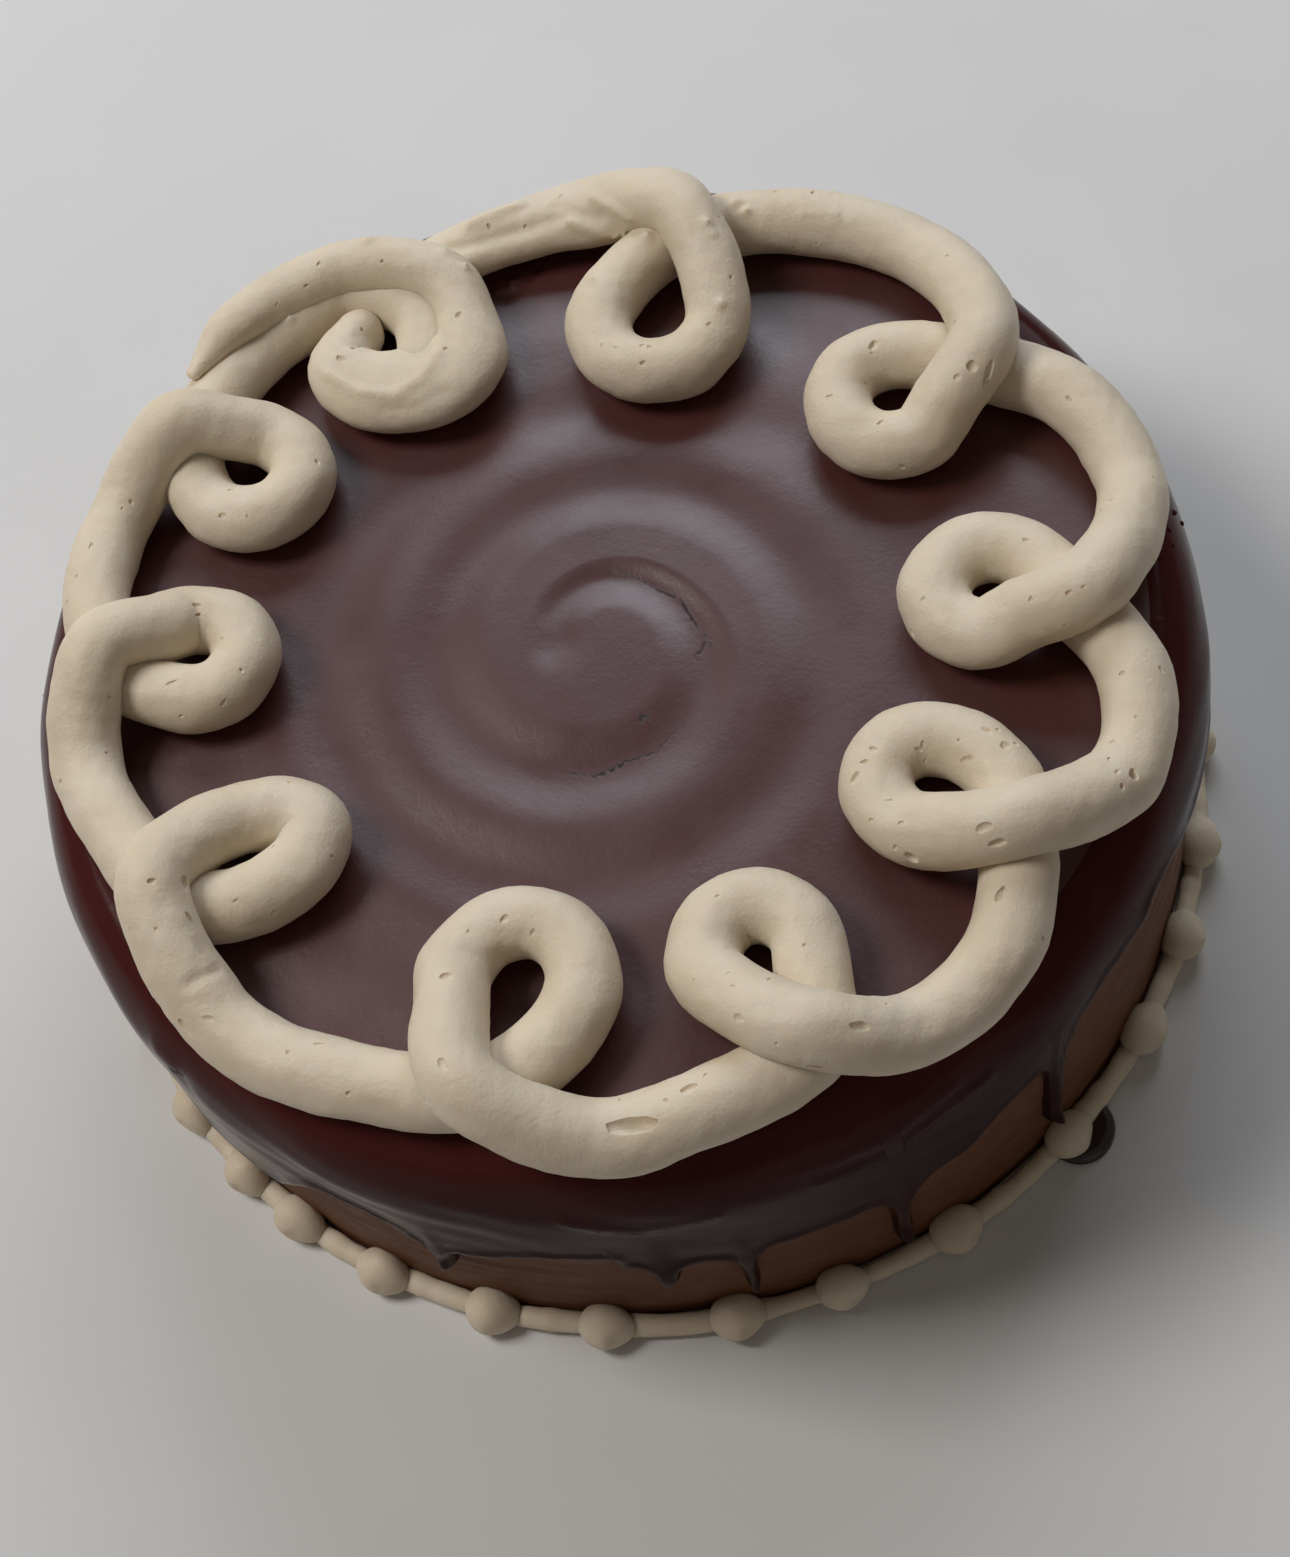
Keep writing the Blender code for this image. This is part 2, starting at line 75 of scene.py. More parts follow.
# Height of the ganache's lower edge at each bearing in degrees, and the drips: bearing, tip, half width.
# A drip is drawn a little wider, and stands out by shares of the ganache's thickness
EDGE = ((-168, 30), (-152, 28), (-144, 23), (-132, 40), (-120, 34), (-110, 38), (-97, 32), (-84, 33),
        (-72, 36), (-65, 43), (-58, 47), (-45, 54), (-33, 46), (-5, 41), (25, 37), (55, 42), (85, 35),
        (115, 39), (145, 33))
DRIPS = ((-122.1, 24.2, 1.6), (-100.9, 26.5, 2.2), (-93.6, 15.3, 1.2), (-78.5, 9.6, 1.5),
         (-60.4, 13.0, 1.3), (-18.0, 27.0, 1.8), (8.0, 18.0, 1.4), (40.0, 24.0, 1.8), (98.0, 16.0, 1.5),
         (129.0, 25.0, 1.8))
DRIP_WIDER = 1.15
DRIP_FLARE = 5.0
DRIP_SIDE_STEPS = 26
DRIP_HIGH = 0.35
DRIP_TIP_HIGH = 0.5

# The skirt's mesh: degrees between columns, rows down the wall and in its lowest share by the edge. The
# edge is rounded over a distance, and the ganache stands out in a low lip a little above it
COLUMN_STEP = 0.5
NEAR_COLUMNS = 80
SHOULDER_STEPS = 60
WALL_ROWS = 26
EDGE_ROWS = 20
EDGE_SHARE = 0.16
EDGE_ROUND = 1.5
LIP_HIGH = 0.22
LIP_AT = 1.6
LIP_WIDTH = 1.3

# The swirl: its centre, and its groove after each clockwise quarter turn from -X: radius, depth, and how
# far it falls from the inside and rises to the outside. These are averaged over shifts in quarter turns
SWIRL_CENTRE = (0.0, -5.0)
EASE = (-0.4, -0.2, 0.0, 0.2, 0.4)
Groove = namedtuple("Groove", "radius depth inner outer")
GROOVES = (Groove(8.0, 0.0, 5.0, 5.0), Groove(14.2, 0.75, 7.0, 4.5), Groove(14.5, 0.8, 7.0, 5.0),
           Groove(24.5, 0.85, 10.0, 11.0), Groove(29.5, 0.75, 11.0, 9.5), Groove(33.0, 0.65, 8.0, 8.0),
           Groove(34.5, 0.65, 9.5, 9.5), Groove(45.0, 0.7, 10.0, 10.0), Groove(50.0, 0.9, 11.0, 10.0),
           Groove(52.0, 0.5, 9.0, 9.0), Groove(54.0, 0.3, 9.0, 9.0), Groove(60.0, 0.0, 9.0, 9.0))

# Thin cracks in the skin of the ganache, as points x, y
CRACKS = (
    ((3, 11.2), (9, 7), (12, 3), (15, 0), (16, -5), (17.5, -9), (17.5, -11), (19.4, -11.2)),
    ((17.5, -9.5), (15.4, -11.2), (14.6, -13.6)),
    ((-15, -27), (-12, -27.2), (-8, -29.5), (-5, -29.2), (-2, -28.5), (2, -28.3), (5, -27.2), (9, -24)),
    ((1.6, -21.9), (3, -21.2), (4.2, -21.6)),
)
CRACK_WIDTH = 0.34
CRACK_DEPTH = 0.05
CRACK_WANDER = 0.25

# The top's faint outer rings, and the radius from which its relief fades out towards the rim
RING_HEIGHT = 0.05
RING_SPACING = 15.0
RINGS_FROM = 50.0
RELIEF_TO = 84.0

# The top's mesh: radii of its rows and bearings of its columns, closest together where it is cracked
TOP_RADII = np.concatenate([np.arange(0.8, 13, 0.8), np.arange(13, 21, 0.2), np.arange(21, 28, 0.27),
                            np.arange(28, 46, 1.2), np.linspace(46, 66, 11), np.arange(67, 87, 1.3),
                            np.linspace(88, TOP_RIM, 4)])
TOP_BEARINGS = np.radians(np.concatenate([np.arange(-130, 85, 0.4), np.arange(85, 125, 0.6),
                                          np.arange(125, 230, 1.0)]))

# The piped rope
ROPE_WIDTH = 12.3
ROPE_HEIGHT = 12.2
ROPE_REST = 5.8
CROSS_LIFT = 8.5
ROPE_SIDES = 48
ROPE_STEP = 0.75
ROPE_SWELL = 0.012
ROPE_LUMP = 0.09
ROPE_RIPPLE = 0.035
SPLINE_STEPS = 12
END_RINGS = 9

# A loop: bearing and radius of its middle, half width, half reach towards the rim, lean in degrees, where
# it crosses itself (along the rim, outwards), how much further out the upper strand crosses, and the radii
# of the run to the next loop
Loop = namedtuple("Loop", "bearing radius half_width half_reach lean along out over run_near run_far")
LOOPS = (
    Loop(138.0, 72.0, 9.0, 9.8, 15, -1.0, 14.0, 0.0, 92.0, 91.5),
    Loop(169.8, 70.0, 8.0, 8.0, 22, 0.0, 15.0, 0.5, 92.0, 89.5),
    Loop(203.8, 73.3, 7.2, 11.8, -10, -2.0, 13.7, 1.5, 95.9, 93.8),
    Loop(246.5, 72.3, 10.6, 11.3, 0, -2.5, 17.5, 2.5, 97.3, 95.0),
    Loop(277.0, 74.0, 8.5, 9.3, 0, 2.0, 17.0, 0.5, 97.0, 95.5),
    Loop(310.0, 71.0, 9.0, 11.3, 0, -1.5, 15.0, 0.5, 95.8, 93.5),
    Loop(342.3, 68.6, 9.0, 9.6, 0, -3.0, 14.5, 2.0, 95.0, 92.5),
    Loop(380.7, 66.3, 10.2, 9.8, 0, -4.5, 16.5, 0.5, 94.0, 91.0),
    Loop(424.5, 63.0, 11.4, 12.0, 0, -1.0, 19.8, 0.0, 92.5, 91.0),
)
# Where the rope lies between the two strands of a loop's crossing: turn in degrees and height above rest
LOOP_TURNS = ((-35, 0.0), (10, 0.0), (50, 0.0), (90, 0.0), (130, 0.0), (170, 1.0), (212, 4.5))

# The rope's first stretch and its smeared last one, then the closing ring piped over them, which runs out
# to a point: x, y, height above rest, width and height of the rope
Dab = namedtuple("Dab", "x y lift width height")
FIRST_STRETCH = (Dab(-17.0, 63.0, 0.0, 11.0, 10.0), Dab(-15.5, 72.7, 0.0, 11.5, 11.5),
                 Dab(-20.0, 80.5, 0.0, 12.0, 12.0), Dab(-28.5, 84.5, 0.0, 12.0, 12.0),
                 Dab(-39.0, 81.0, 0.0, 12.5, 12.2), Dab(-51.0, 74.0, 0.0, 12.5, 12.2))
LAST_STRETCH = (Dab(29.5, 82.8, 4.0, 14.0, 11.5), Dab(21.0, 86.2, 1.0, 15.0, 10.5),
                Dab(11.5, 87.8, 0.0, 14.0, 9.5), Dab(0.5, 87.6, -0.5, 12.5, 9.0),
                Dab(-9.0, 86.0, -0.5, 11.5, 9.0), Dab(-19.0, 85.0, -1.0, 9.0, 8.0))
CLOSING_RING = (Dab(-28.0, 73.5, 0.0, 9.5, 10.5), Dab(-32.5, 67.0, 0.0, 13.5, 12.0),
                Dab(-27.5, 60.0, 0.0, 16.5, 11.8), Dab(-17.0, 57.6, 0.0, 18.5, 11.5),
                Dab(-9.4, 61.0, 0.3, 16.0, 11.8), Dab(-7.5, 68.3, 1.2, 12.5, 12.2),
                Dab(-9.2, 76.8, 3.6, 12.5, 12.2), Dab(-16.5, 82.5, 5.6, 11.5, 10.8),
                Dab(-28.0, 86.2, 5.2, 11.0, 10.5), Dab(-40.0, 83.8, 5.5, 11.0, 9.5),
                Dab(-50.0, 78.8, 7.0, 8.5, 7.5), Dab(-59.0, 71.0, 6.5, 3.0, 2.5))

# Air holes in the rope, placed by where the photograph's frame shows them: x, y, length, width in pixels,
# and the direction of their length in degrees, anticlockwise from the frame's x axis
Hole = namedtuple("Hole", "x y long wide turn")
HOLES = tuple(Hole(*values) for values in (
    (633, 1126, 40, 18, 5), (972, 366, 13, 12, 0), (989, 372, 34, 9, 80), (957, 377, 8, 6, 0),
    (912, 858, 16, 12, -40), (1134, 774, 13, 12, 60), (446, 976, 12, 10, 0), (185, 1028, 22, 9, -35),
    (185, 883, 15, 11, 60), (152, 881, 10, 7, 20), (190, 919, 14, 6, -60), (156, 929, 5, 4, 0),
    (208, 1018, 13, 5, -10), (319, 1044, 11, 5, -15), (533, 932, 8, 5, 60), (504, 919, 10, 7, 60),
    (442, 1064, 14, 7, -60), (987, 730, 11, 6, -30), (1005, 745, 11, 9, 0), (967, 760, 14, 7, 25),
    (854, 778, 14, 8, 60), (901, 823, 6, 5, 0), (984, 828, 17, 9, 20), (997, 843, 18, 9, 30),
    (1112, 742, 6, 5, 0), (1002, 892, 18, 11, 80), (717, 896, 5, 4, 0), (861, 1026, 18, 9, -5),
    (739, 1018, 12, 7, -20), (814, 1067, 15, 6, -10), (689, 1088, 17, 9, 15), (805, 945, 5, 4, 0),
    (873, 345, 13, 9, 60), (880, 423, 9, 5, 50), (1069, 593, 8, 6, 20), (1004, 658, 13, 5, 20),
    (1122, 674, 7, 6, 0), (1161, 669, 8, 5, -70), (1026, 540, 8, 5, 0), (459, 315, 10, 7, 80),
    (341, 359, 13, 8, -50), (317, 462, 7, 5, -60), (222, 516, 9, 6, 0), (231, 490, 7, 5, 0),
    (172, 683, 12, 5, 20), (223, 703, 11, 5, 60), (181, 716, 6, 4, 0), (241, 670, 6, 4, -70),
    (107, 753, 5, 4, 0), (332, 856, 6, 5, 0), (273, 912, 8, 4, 60), (643, 363, 8, 6, 0),
    (236, 901, 7, 4, 30), (233, 868, 5, 4, 0),
))
PIXEL_MM = 0.185

# Fine holes at random, so many on a rope of so many points
FINE_HOLES = 150
HOLED_POINTS = 64000

# Marks in the rope, from one pixel of that frame to another: half width and depth in millimetres. A depth
# below zero raises a ridge, or a small peak where both ends are one pixel
Mark = namedtuple("Mark", "x0 y0 x1 y1 wide deep")
FOLDS = (Mark(158, 1004, 190, 984, 0.9, 0.3), Mark(190, 984, 219, 968, 0.9, 0.42),
         Mark(152, 982, 202, 950, 3.6, -0.3),
         Mark(905, 818, 911, 866, 0.6, 0.35))
KNIFE_RIDGES = tuple(Mark(*values) for values in (
    (428, 238, 469, 226, 1.0, -0.7), (469, 226, 523, 205, 1.1, -1.0), (523, 205, 544, 186, 1.1, -0.9),
    (544, 186, 593, 197, 0.9, -0.6), (593, 197, 631, 218, 0.9, -0.7), (568, 222, 614, 236, 0.9, -0.6),
    (614, 236, 645, 238, 0.8, -0.7), (450, 248, 520, 230, 1.8, 0.9), (520, 230, 560, 216, 1.8, 0.8),
    (555, 207, 600, 218, 1.3, 0.6), (480, 206, 520, 192, 1.4, 0.5),
))
RING_RIDGES = tuple(Mark(*values) for values in (
    (325, 372, 358, 391, 1.2, -0.4), (358, 391, 395, 395, 1.2, -0.5), (395, 395, 424, 375, 1.2, -0.5),
    (424, 375, 438, 350, 1.2, -0.5), (438, 350, 444, 322, 1.1, -0.4), (345, 342, 374, 356, 0.9, 0.3),
    (374, 356, 403, 358, 0.9, 0.4), (403, 358, 424, 352, 0.9, 0.3), (345, 366, 385, 374, 3.0, 0.5),
    (385, 374, 415, 358, 3.0, 0.4), (378, 411, 411, 408, 0.9, 0.25), (411, 408, 445, 393, 0.9, 0.25),
    (345, 318, 352, 333, 0.5, -0.3), (335, 318, 340, 334, 0.5, -0.3),
))
PEAKS = tuple(Mark(x, y, x, y, wide, -high) for x, y, wide, high in (
    (368, 241, 0.9, 1.0), (465, 267, 0.8, 0.9), (647, 236, 1.0, 1.1), (593, 280, 0.7, 0.9),
    (721, 303, 0.7, 0.8), (736, 203, 0.9, 1.1), (746, 211, 0.8, 0.9), (707, 222, 0.8, 0.7),
    (713, 233, 0.7, 0.6), (445, 251, 0.8, 0.7), (290, 319, 0.7, 0.7), (624, 234, 0.9, 0.9)))
COMB = tuple(Mark(800 + 8 * i, 192, 804 + 8 * i, 214, 0.45, -0.45) for i in range(6))

# Marks in the ganache: bulges at the left, ridges where it ran, a slight dent where the swirl starts and
# scrapes behind; and its crumbs
RUN_MARKS = tuple(Mark(*values) for values in (
    (88, 955, 90, 960, 3.0, -0.7), (96, 975, 100, 985, 2.5, 0.4), (160, 1050, 170, 1060, 2.6, -0.7),
    (178, 1075, 185, 1085, 2.5, 0.4), (820, 1184, 880, 1160, 0.9, -0.5),
    (880, 1160, 940, 1115, 0.9, -0.6), (940, 1115, 990, 1076, 0.9, -0.5),
    (800, 1172, 880, 1142, 0.8, -0.4), (880, 1142, 955, 1085, 0.8, -0.4),
    (760, 1165, 850, 1135, 0.8, -0.3), (560, 1222, 640, 1232, 0.9, -0.4),
    (640, 1232, 720, 1215, 0.9, -0.4),
))
TOP_MARKS = (Mark(550, 648, 566, 642, 3.4, 0.22), Mark(548, 257, 523, 284, 0.9, 0.7),
             Mark(523, 284, 503, 298, 0.9, 0.6), Mark(538, 262, 512, 285, 0.8, -0.4),
             Mark(528, 262, 508, 284, 0.8, 0.5))
CRUMBS = 26
CRUMB_BEARING = -2.0
CRUMB_SPREAD = 5.0

# The piped line and beads round the foot. A bead's middle stands at a share of its height
LINE_WIDTH = 4.0
LINE_HEIGHT = 3.6
LINE_RADIUS = 106.2
LINE_STEPS = 720
LINE_SIDES = 14
BEAD_RADIUS = 106.8
BEAD_SIZE = (9.8, 8.4, 8.8)
BEAD_SQUASH = 0.42
BEAD_RINGS = 26
BEAD_SIDES = 40
BEADS_SEEN = (-159.2, -149.8, -142.3, -131.8, -120.0, -108.8, -96.2, -85.9, -73.7, -59.3, -46.1, -35.3,
              -24.8)
BEADS_BEHIND = 18

# The little pool of ganache beside the foot
POOL_BEARING = -57.8
POOL_RADIUS_AT = 107.0
POOL_SIZE = 6.5
POOL_DEPTH = 1.3
POOL_SIDES = 72
POOL_FLAT = 0.8
POOL_ROUND = 0.2
POOL_SHARES = (0.2, 0.4, 0.6, 0.75, 0.86, 0.93, 0.97, 1.0, 1.0)

# The floor reaches this far from its middle, in metres, and lies just below the foot
FLOOR_REACH = 12.0
FLOOR_DROP = 0.0002

# The camera: focal length and middle of view in pixels of the photograph's frame
IMAGE = (1290, 1557)
FOCAL = 2400.0
VIEW_MIDDLE = (626.1, 716.4)
CAMERA_AT = Vector((0.0, -0.2325, 0.4204))
AIM = Vector((0.0, 0.0, 0.03378))
ROLL = radians(-16.62)
SENSOR = 36.0


def smooth(low, high, share):
    """Smooth step from low to high as share runs from 0 to 1."""
    share = np.clip(share, 0.0, 1.0)
    return low + (high - low) * share * share * (3 - 2 * share)


def ripples(points, wavelength, seed, stretch=(1, 1, 1), waves=16):
    """Smooth random relief about one high: a sum of plane waves in random directions."""
    rng = np.random.default_rng(seed)
    flat = points.reshape(-1, 3)
    total = np.zeros(len(flat))
    for _ in range(waves):
        direction = rng.normal(size=3)
        direction /= np.linalg.norm(direction)
        number = 2 * pi / (wavelength * rng.uniform(0.65, 1.5))
        total += np.sin(flat @ (direction * number / np.array(stretch)) + rng.uniform(0, 2 * pi))
    return (total / np.sqrt(waves / 2)).reshape(points.shape[:-1])


def mesh_object(name, points, faces, finish, sharp=60):
    """An object from points in millimetres, its faces turned outwards and shaded smooth up to an angle."""
    mesh = bpy.data.meshes.new(name)
    mesh.from_pydata((points * MM).tolist(), [], faces)
    bm = bmesh.new()
    bm.from_mesh(mesh)
    bmesh.ops.recalc_face_normals(bm, faces=bm.faces)
    bm.to_mesh(mesh)
    bm.free()
    mesh.shade_smooth()
    mesh.set_sharp_from_angle(angle=radians(sharp))
    mesh.materials.append(finish)
    made = bpy.data.objects.new(name, mesh)
    bpy.context.scene.collection.objects.link(made)
    return made


def skin(rows, looped=False, first=None, last=None):
    """Points and faces of a skin over rows of points that run round. Looped joins the last row to the
    first; otherwise each end closes in a point, if one is given, or in one face."""
    count, columns = rows.shape[:2]
    points = rows.reshape(-1, 3)
    index = np.arange(count * columns).reshape(count, columns)
    near = index if looped else index[:-1]
    far = np.roll(index, -1, axis=0) if looped else index[1:]
    quads = np.stack([near, np.roll(near, -1, axis=1), np.roll(far, -1, axis=1), far], axis=-1)
    faces = quads.reshape(-1, 4).tolist()
    if looped:
        return points, faces
    for row, tip in ((index[0], first), (index[-1], last)):
        if tip is None:
            faces.append(row.tolist())
            continue
        pole = len(points)
        points = np.vstack([points, [tip]])
        faces += [[a, b, pole] for a, b in zip(row.tolist(), np.roll(row, -1).tolist())]
    return points, faces


def merged(parts):
    """Points and faces of several skins as one."""
    points, faces, base = [], [], 0
    for part_points, part_faces in parts:
        points.append(part_points)
        faces += [[i + base for i in face] for face in part_faces]
        base += len(part_points)
    return np.vstack(points), faces


def around(bearings, radius, height):
    """A row of points at bearings in radians, at a radius and height which may vary."""
    row = np.empty((len(bearings), 3))
    row[:, 0] = radius * np.cos(bearings)
    row[:, 1] = radius * np.sin(bearings)
    row[:, 2] = height
    return row


# The ganache's top
def eased(turns, values):
    """Values given at quarter turns, averaged over a short way so that they change without a crease."""
    quarters = np.arange(len(values))
    return np.mean([np.interp(turns + shift, quarters, values) for shift in EASE], axis=0)


def swirl_relief(x, y):
    """Depth of the spiral groove below the crests of the ganache."""
    dx, dy = x - SWIRL_CENTRE[0], y - SWIRL_CENTRE[1]
    out = np.hypot(dx, dy)
    first = ((180 - np.degrees(np.arctan2(dy, dx))) % 360) / 90
    deepest = np.zeros_like(out)
    for lap in range(-1, 3):
        radius, depth, inner, outer = (eased(first + 4 * lap, values) for values in zip(*GROOVES))
        side = np.where(out < radius, inner, outer)
        groove = smooth(depth, 0.0, np.abs(out - radius) / side)
        deepest = np.hypot(deepest, groove)
    return deepest


def crack_strength(x, y):
    """How open the cracks are at each point, 0 to 1. They wander a little and thin out to their ends."""
    wander = ripples(np.stack([x, y, 0 * x], axis=-1), 2.2, 31) * CRACK_WANDER
    open_by = np.zeros_like(x)
    for crack in CRACKS:
        total = len(crack) - 1
        for i, (a, b) in enumerate(zip(crack, crack[1:])):
            ax, ay, bx, by = *a, *b
            length2 = (bx - ax) ** 2 + (by - ay) ** 2
            share = np.clip(((x - ax) * (bx - ax) + (y - ay) * (by - ay)) / length2, 0, 1)
            away = np.hypot(x + wander - ax - share * (bx - ax), y - wander - ay - share * (by - ay))
            along = (i + share) / total
            strength = np.sqrt(np.clip(4 * along * (1 - along), 0, 1))
            open_by = np.maximum(open_by, strength * np.exp(-((away / CRACK_WIDTH) ** 2)))
    return open_by


def top_relief(x, y):
    """Height of the ganache's top against its flat: swirl, faint outer rings, unevenness and cracks."""
    out = np.hypot(x, y)
    spot = np.stack([x, y, 0 * x], axis=-1)
    turn = np.arctan2(y, x)
    uncentred = out - 4 * turn / pi + 2.0 * np.sin(turn + 1)
    rings = RING_HEIGHT * np.sin(uncentred * 2 * pi / RING_SPACING)
    rings *= smooth(0, 1, (out - RINGS_FROM) / 10)
    uneven = 0.09 * ripples(spot, 45.0, 11) + 0.012 * ripples(spot, 12.0, 12)
    fade = smooth(1, 0, (out - RELIEF_TO) / 9)
    return (-swirl_relief(x, y) + rings + uneven) * fade - CRACK_DEPTH * crack_strength(x, y)


def ganache_top(finish):
    """The sheet of ganache on top. Its inner rows are centred on the swirl, its outer ones on the cake."""
    rows = []
    for radius in TOP_RADII:
        row = around(TOP_BEARINGS, radius, TOP_Z)
        row[:, :2] += np.array(SWIRL_CENTRE) * smooth(1.0, 0.0, (radius - 34) / 60)
        row[:, 2] += top_relief(row[:, 0], row[:, 1])
        rows.append(row)
    middle = np.array([*SWIRL_CENTRE, TOP_Z])
    middle[2] += top_relief(middle[:1], middle[1:2])[0]
    rows.append(around(TOP_BEARINGS, TOP_RIM, CAKE_TOP))
    under = np.array([0, 0, CAKE_TOP])
    top = mesh_object("ganache_top", *skin(np.array(rows), first=middle, last=under), finish)
    press_marks(top, TOP_MARKS)
    spots = np.array([v.co for v in top.data.vertices]) / MM
    # The cracks' strength goes on the mesh, where the material paints them a near-black shade
    cracks = top.data.attributes.new("cracks", "FLOAT", "POINT")
    cracks.data.foreach_set("value", crack_strength(spots[:, 0], spots[:, 1]))
    return top


# The ganache's shoulder, skirt and drips
def plain_edge(bearing):
    """Height of the ganache's lower edge, without drips, at bearings in degrees."""
    marks, heights = np.array(EDGE + ((EDGE[0][0] + 360, EDGE[0][1]),), float).T
    turn = (bearing - marks[0]) % 360 + marks[0]
    i = np.clip(np.searchsorted(marks, turn, side="right") - 1, 0, len(EDGE) - 1)
    height = smooth(heights[i], heights[i + 1], (turn - marks[i]) / (marks[i + 1] - marks[i]))
    wavy = around(np.radians(bearing), GLAZE_RADIUS, 0.0)
    return height + 0.5 * ripples(wavy, 16.0, 41) + 0.2 * ripples(wavy, 5.0, 42)


def drip_side(tip, top, half):
    """Half widths of a drip from its round tip to where it flares into the edge, and their heights."""
    rise = np.concatenate([half * (1 - np.cos(np.linspace(0, pi / 2, DRIP_SIDE_STEPS // 2))),
                           np.linspace(half, top - tip, DRIP_SIDE_STEPS)[1:]])
    round_part = np.sqrt(np.clip(2 * half * rise - rise ** 2, 0, None))
    up = np.clip((rise - half) / max(top - tip - half, 1e-6), 0, 1)
    width = np.where(rise < half, round_part, half * (1 + 0.12 * up) + DRIP_FLARE * up ** 6)
    return width, tip + rise


def degrees_away(bearing, at):
    return (bearing - at + 180) % 360 - 180


def skirt_columns():
    """Bearings in degrees of the skirt's columns, closest at the drips, and the edge's height there."""
    bearings = [np.arange(-180, 180, COLUMN_STEP)]
    sides = []
    for at, tip, half in DRIPS:
        top = float(plain_edge(np.array([at]))[0])
        width, height = drip_side(tip, top, half * DRIP_WIDER)
        reach = np.degrees(width / SKIRT_RADIUS)
        sides.append((at, reach, height))
        bearings = [kept[np.abs(degrees_away(kept, at)) > reach[-1]] for kept in bearings]
        bearings += [at + reach, at - reach[1:]]
    bearings = np.sort(np.concatenate(bearings))
    keep = np.append(np.diff(bearings) > 1e-4, True)
    bearings = bearings[keep]
    edge = plain_edge(bearings)
    for at, reach, height in sides:
        away = np.abs(degrees_away(bearings, at))
        side = np.interp(away, reach, height)
        edge = np.where(away <= reach[-1], np.minimum(edge, side), edge)
    return bearings, edge


def profile(radius, top):
    """The shoulder and wall as points by length along them: lengths, radii and heights."""
    turn = np.linspace(0, pi / 2, SHOULDER_STEPS)
    out = np.concatenate([[TOP_RIM], FLAT_RADIUS + (radius - FLAT_RADIUS) * np.sin(turn), [radius]])
    up = np.concatenate([[top], SHOULDER_Z + (top - SHOULDER_Z) * np.cos(turn), [0.0]])
    length = np.concatenate([[0], np.cumsum(np.hypot(np.diff(out), np.diff(up)))])
    return length, out, up


def edge_distance(arc, edge_s, s):
    """Distance of each point of the unrolled skirt from the ganache's lower edge near its column."""
    around_all = 2 * pi * SKIRT_RADIUS
    best = np.full(s.shape, 1e9)
    for shift in range(-NEAR_COLUMNS, NEAR_COLUMNS):
        ax, bx = np.roll(arc, -shift), np.roll(arc, -shift - 1)
        ax = (ax - arc + around_all / 2) % around_all - around_all / 2
        bx = (bx - arc + around_all / 2) % around_all - around_all / 2
        ay, by = np.roll(edge_s, -shift), np.roll(edge_s, -shift - 1)
        dx, dy = bx - ax, by - ay
        share = np.clip((-ax * dx + (s - ay) * dy) / np.maximum(dx * dx + dy * dy, 1e-9), 0, 1)
        best = np.minimum(best, np.hypot(ax + share * dx, ay + share * dy - s))
    return best


def skirt_relief(points):
    """Unevenness of the hanging ganache: slow bulges, and faint slanting ridges where it ran."""
    slant = points.copy()
    slant[..., 2] += 0.25 * SKIRT_RADIUS * np.arctan2(points[..., 1], points[..., 0])
    ridges = ripples(slant, 7.0, 52, stretch=(4, 4, 1))
    return 0.22 * ripples(points, 30.0, 51) + 0.06 * ridges


def crumbs():
    """Small dark crumbs that stick to the ganache's shoulder, each one an uneven ball."""
    rng = np.random.default_rng(19)
    for i in range(CRUMBS):
        turn = radians(CRUMB_BEARING + rng.normal() * CRUMB_SPREAD)
        if i % 4 == 0:
            turn = rng.uniform(0, 2 * pi)
        fall = rng.uniform(0.05, 1.1)
        out = FLAT_RADIUS + (GLAZE_RADIUS - FLAT_RADIUS) * sin(fall)
        high = SHOULDER_Z + (TOP_Z - SHOULDER_Z) * cos(fall)
        point = Vector((out * cos(turn), out * sin(turn), high)) * MM
        normal = Vector((cos(turn) * sin(fall), sin(turn) * sin(fall), cos(fall)))
        size = rng.uniform(0.3, 0.75)
        direction = Vector(rng.normal(size=3))
        yield uneven_ball(point, normal, direction, size * 1.3, size, size * 0.9, 700 + i)


def on_profile(s, turn, length, out, up):
    """Points at lengths s along a profile, in columns at bearings in radians."""
    radius = np.interp(s, length, out)
    return np.stack([radius * np.cos(turn), radius * np.sin(turn), np.interp(s, length, up)], axis=-1)


def drip_bulge(bearings, heights):
    """How far the drips stand out from the skirt, as a share of its thickness: most near their tips."""
    bulge = np.zeros_like(heights)
    for at, tip, half in DRIPS:
        half_mm = half * DRIP_WIDER
        x = np.radians(degrees_away(bearings, at)) * SKIRT_RADIUS
        near_tip = np.exp(-(((heights - tip - half_mm) / (1.6 * half_mm)) ** 2))
        top = plain_edge(np.array([at]))[0]
        below_top = smooth(1, 0, (heights - top) / 12)
        bulge += np.exp(-((x / half_mm) ** 2)) * (DRIP_HIGH + DRIP_TIP_HIGH * near_tip) * below_top
    return bulge


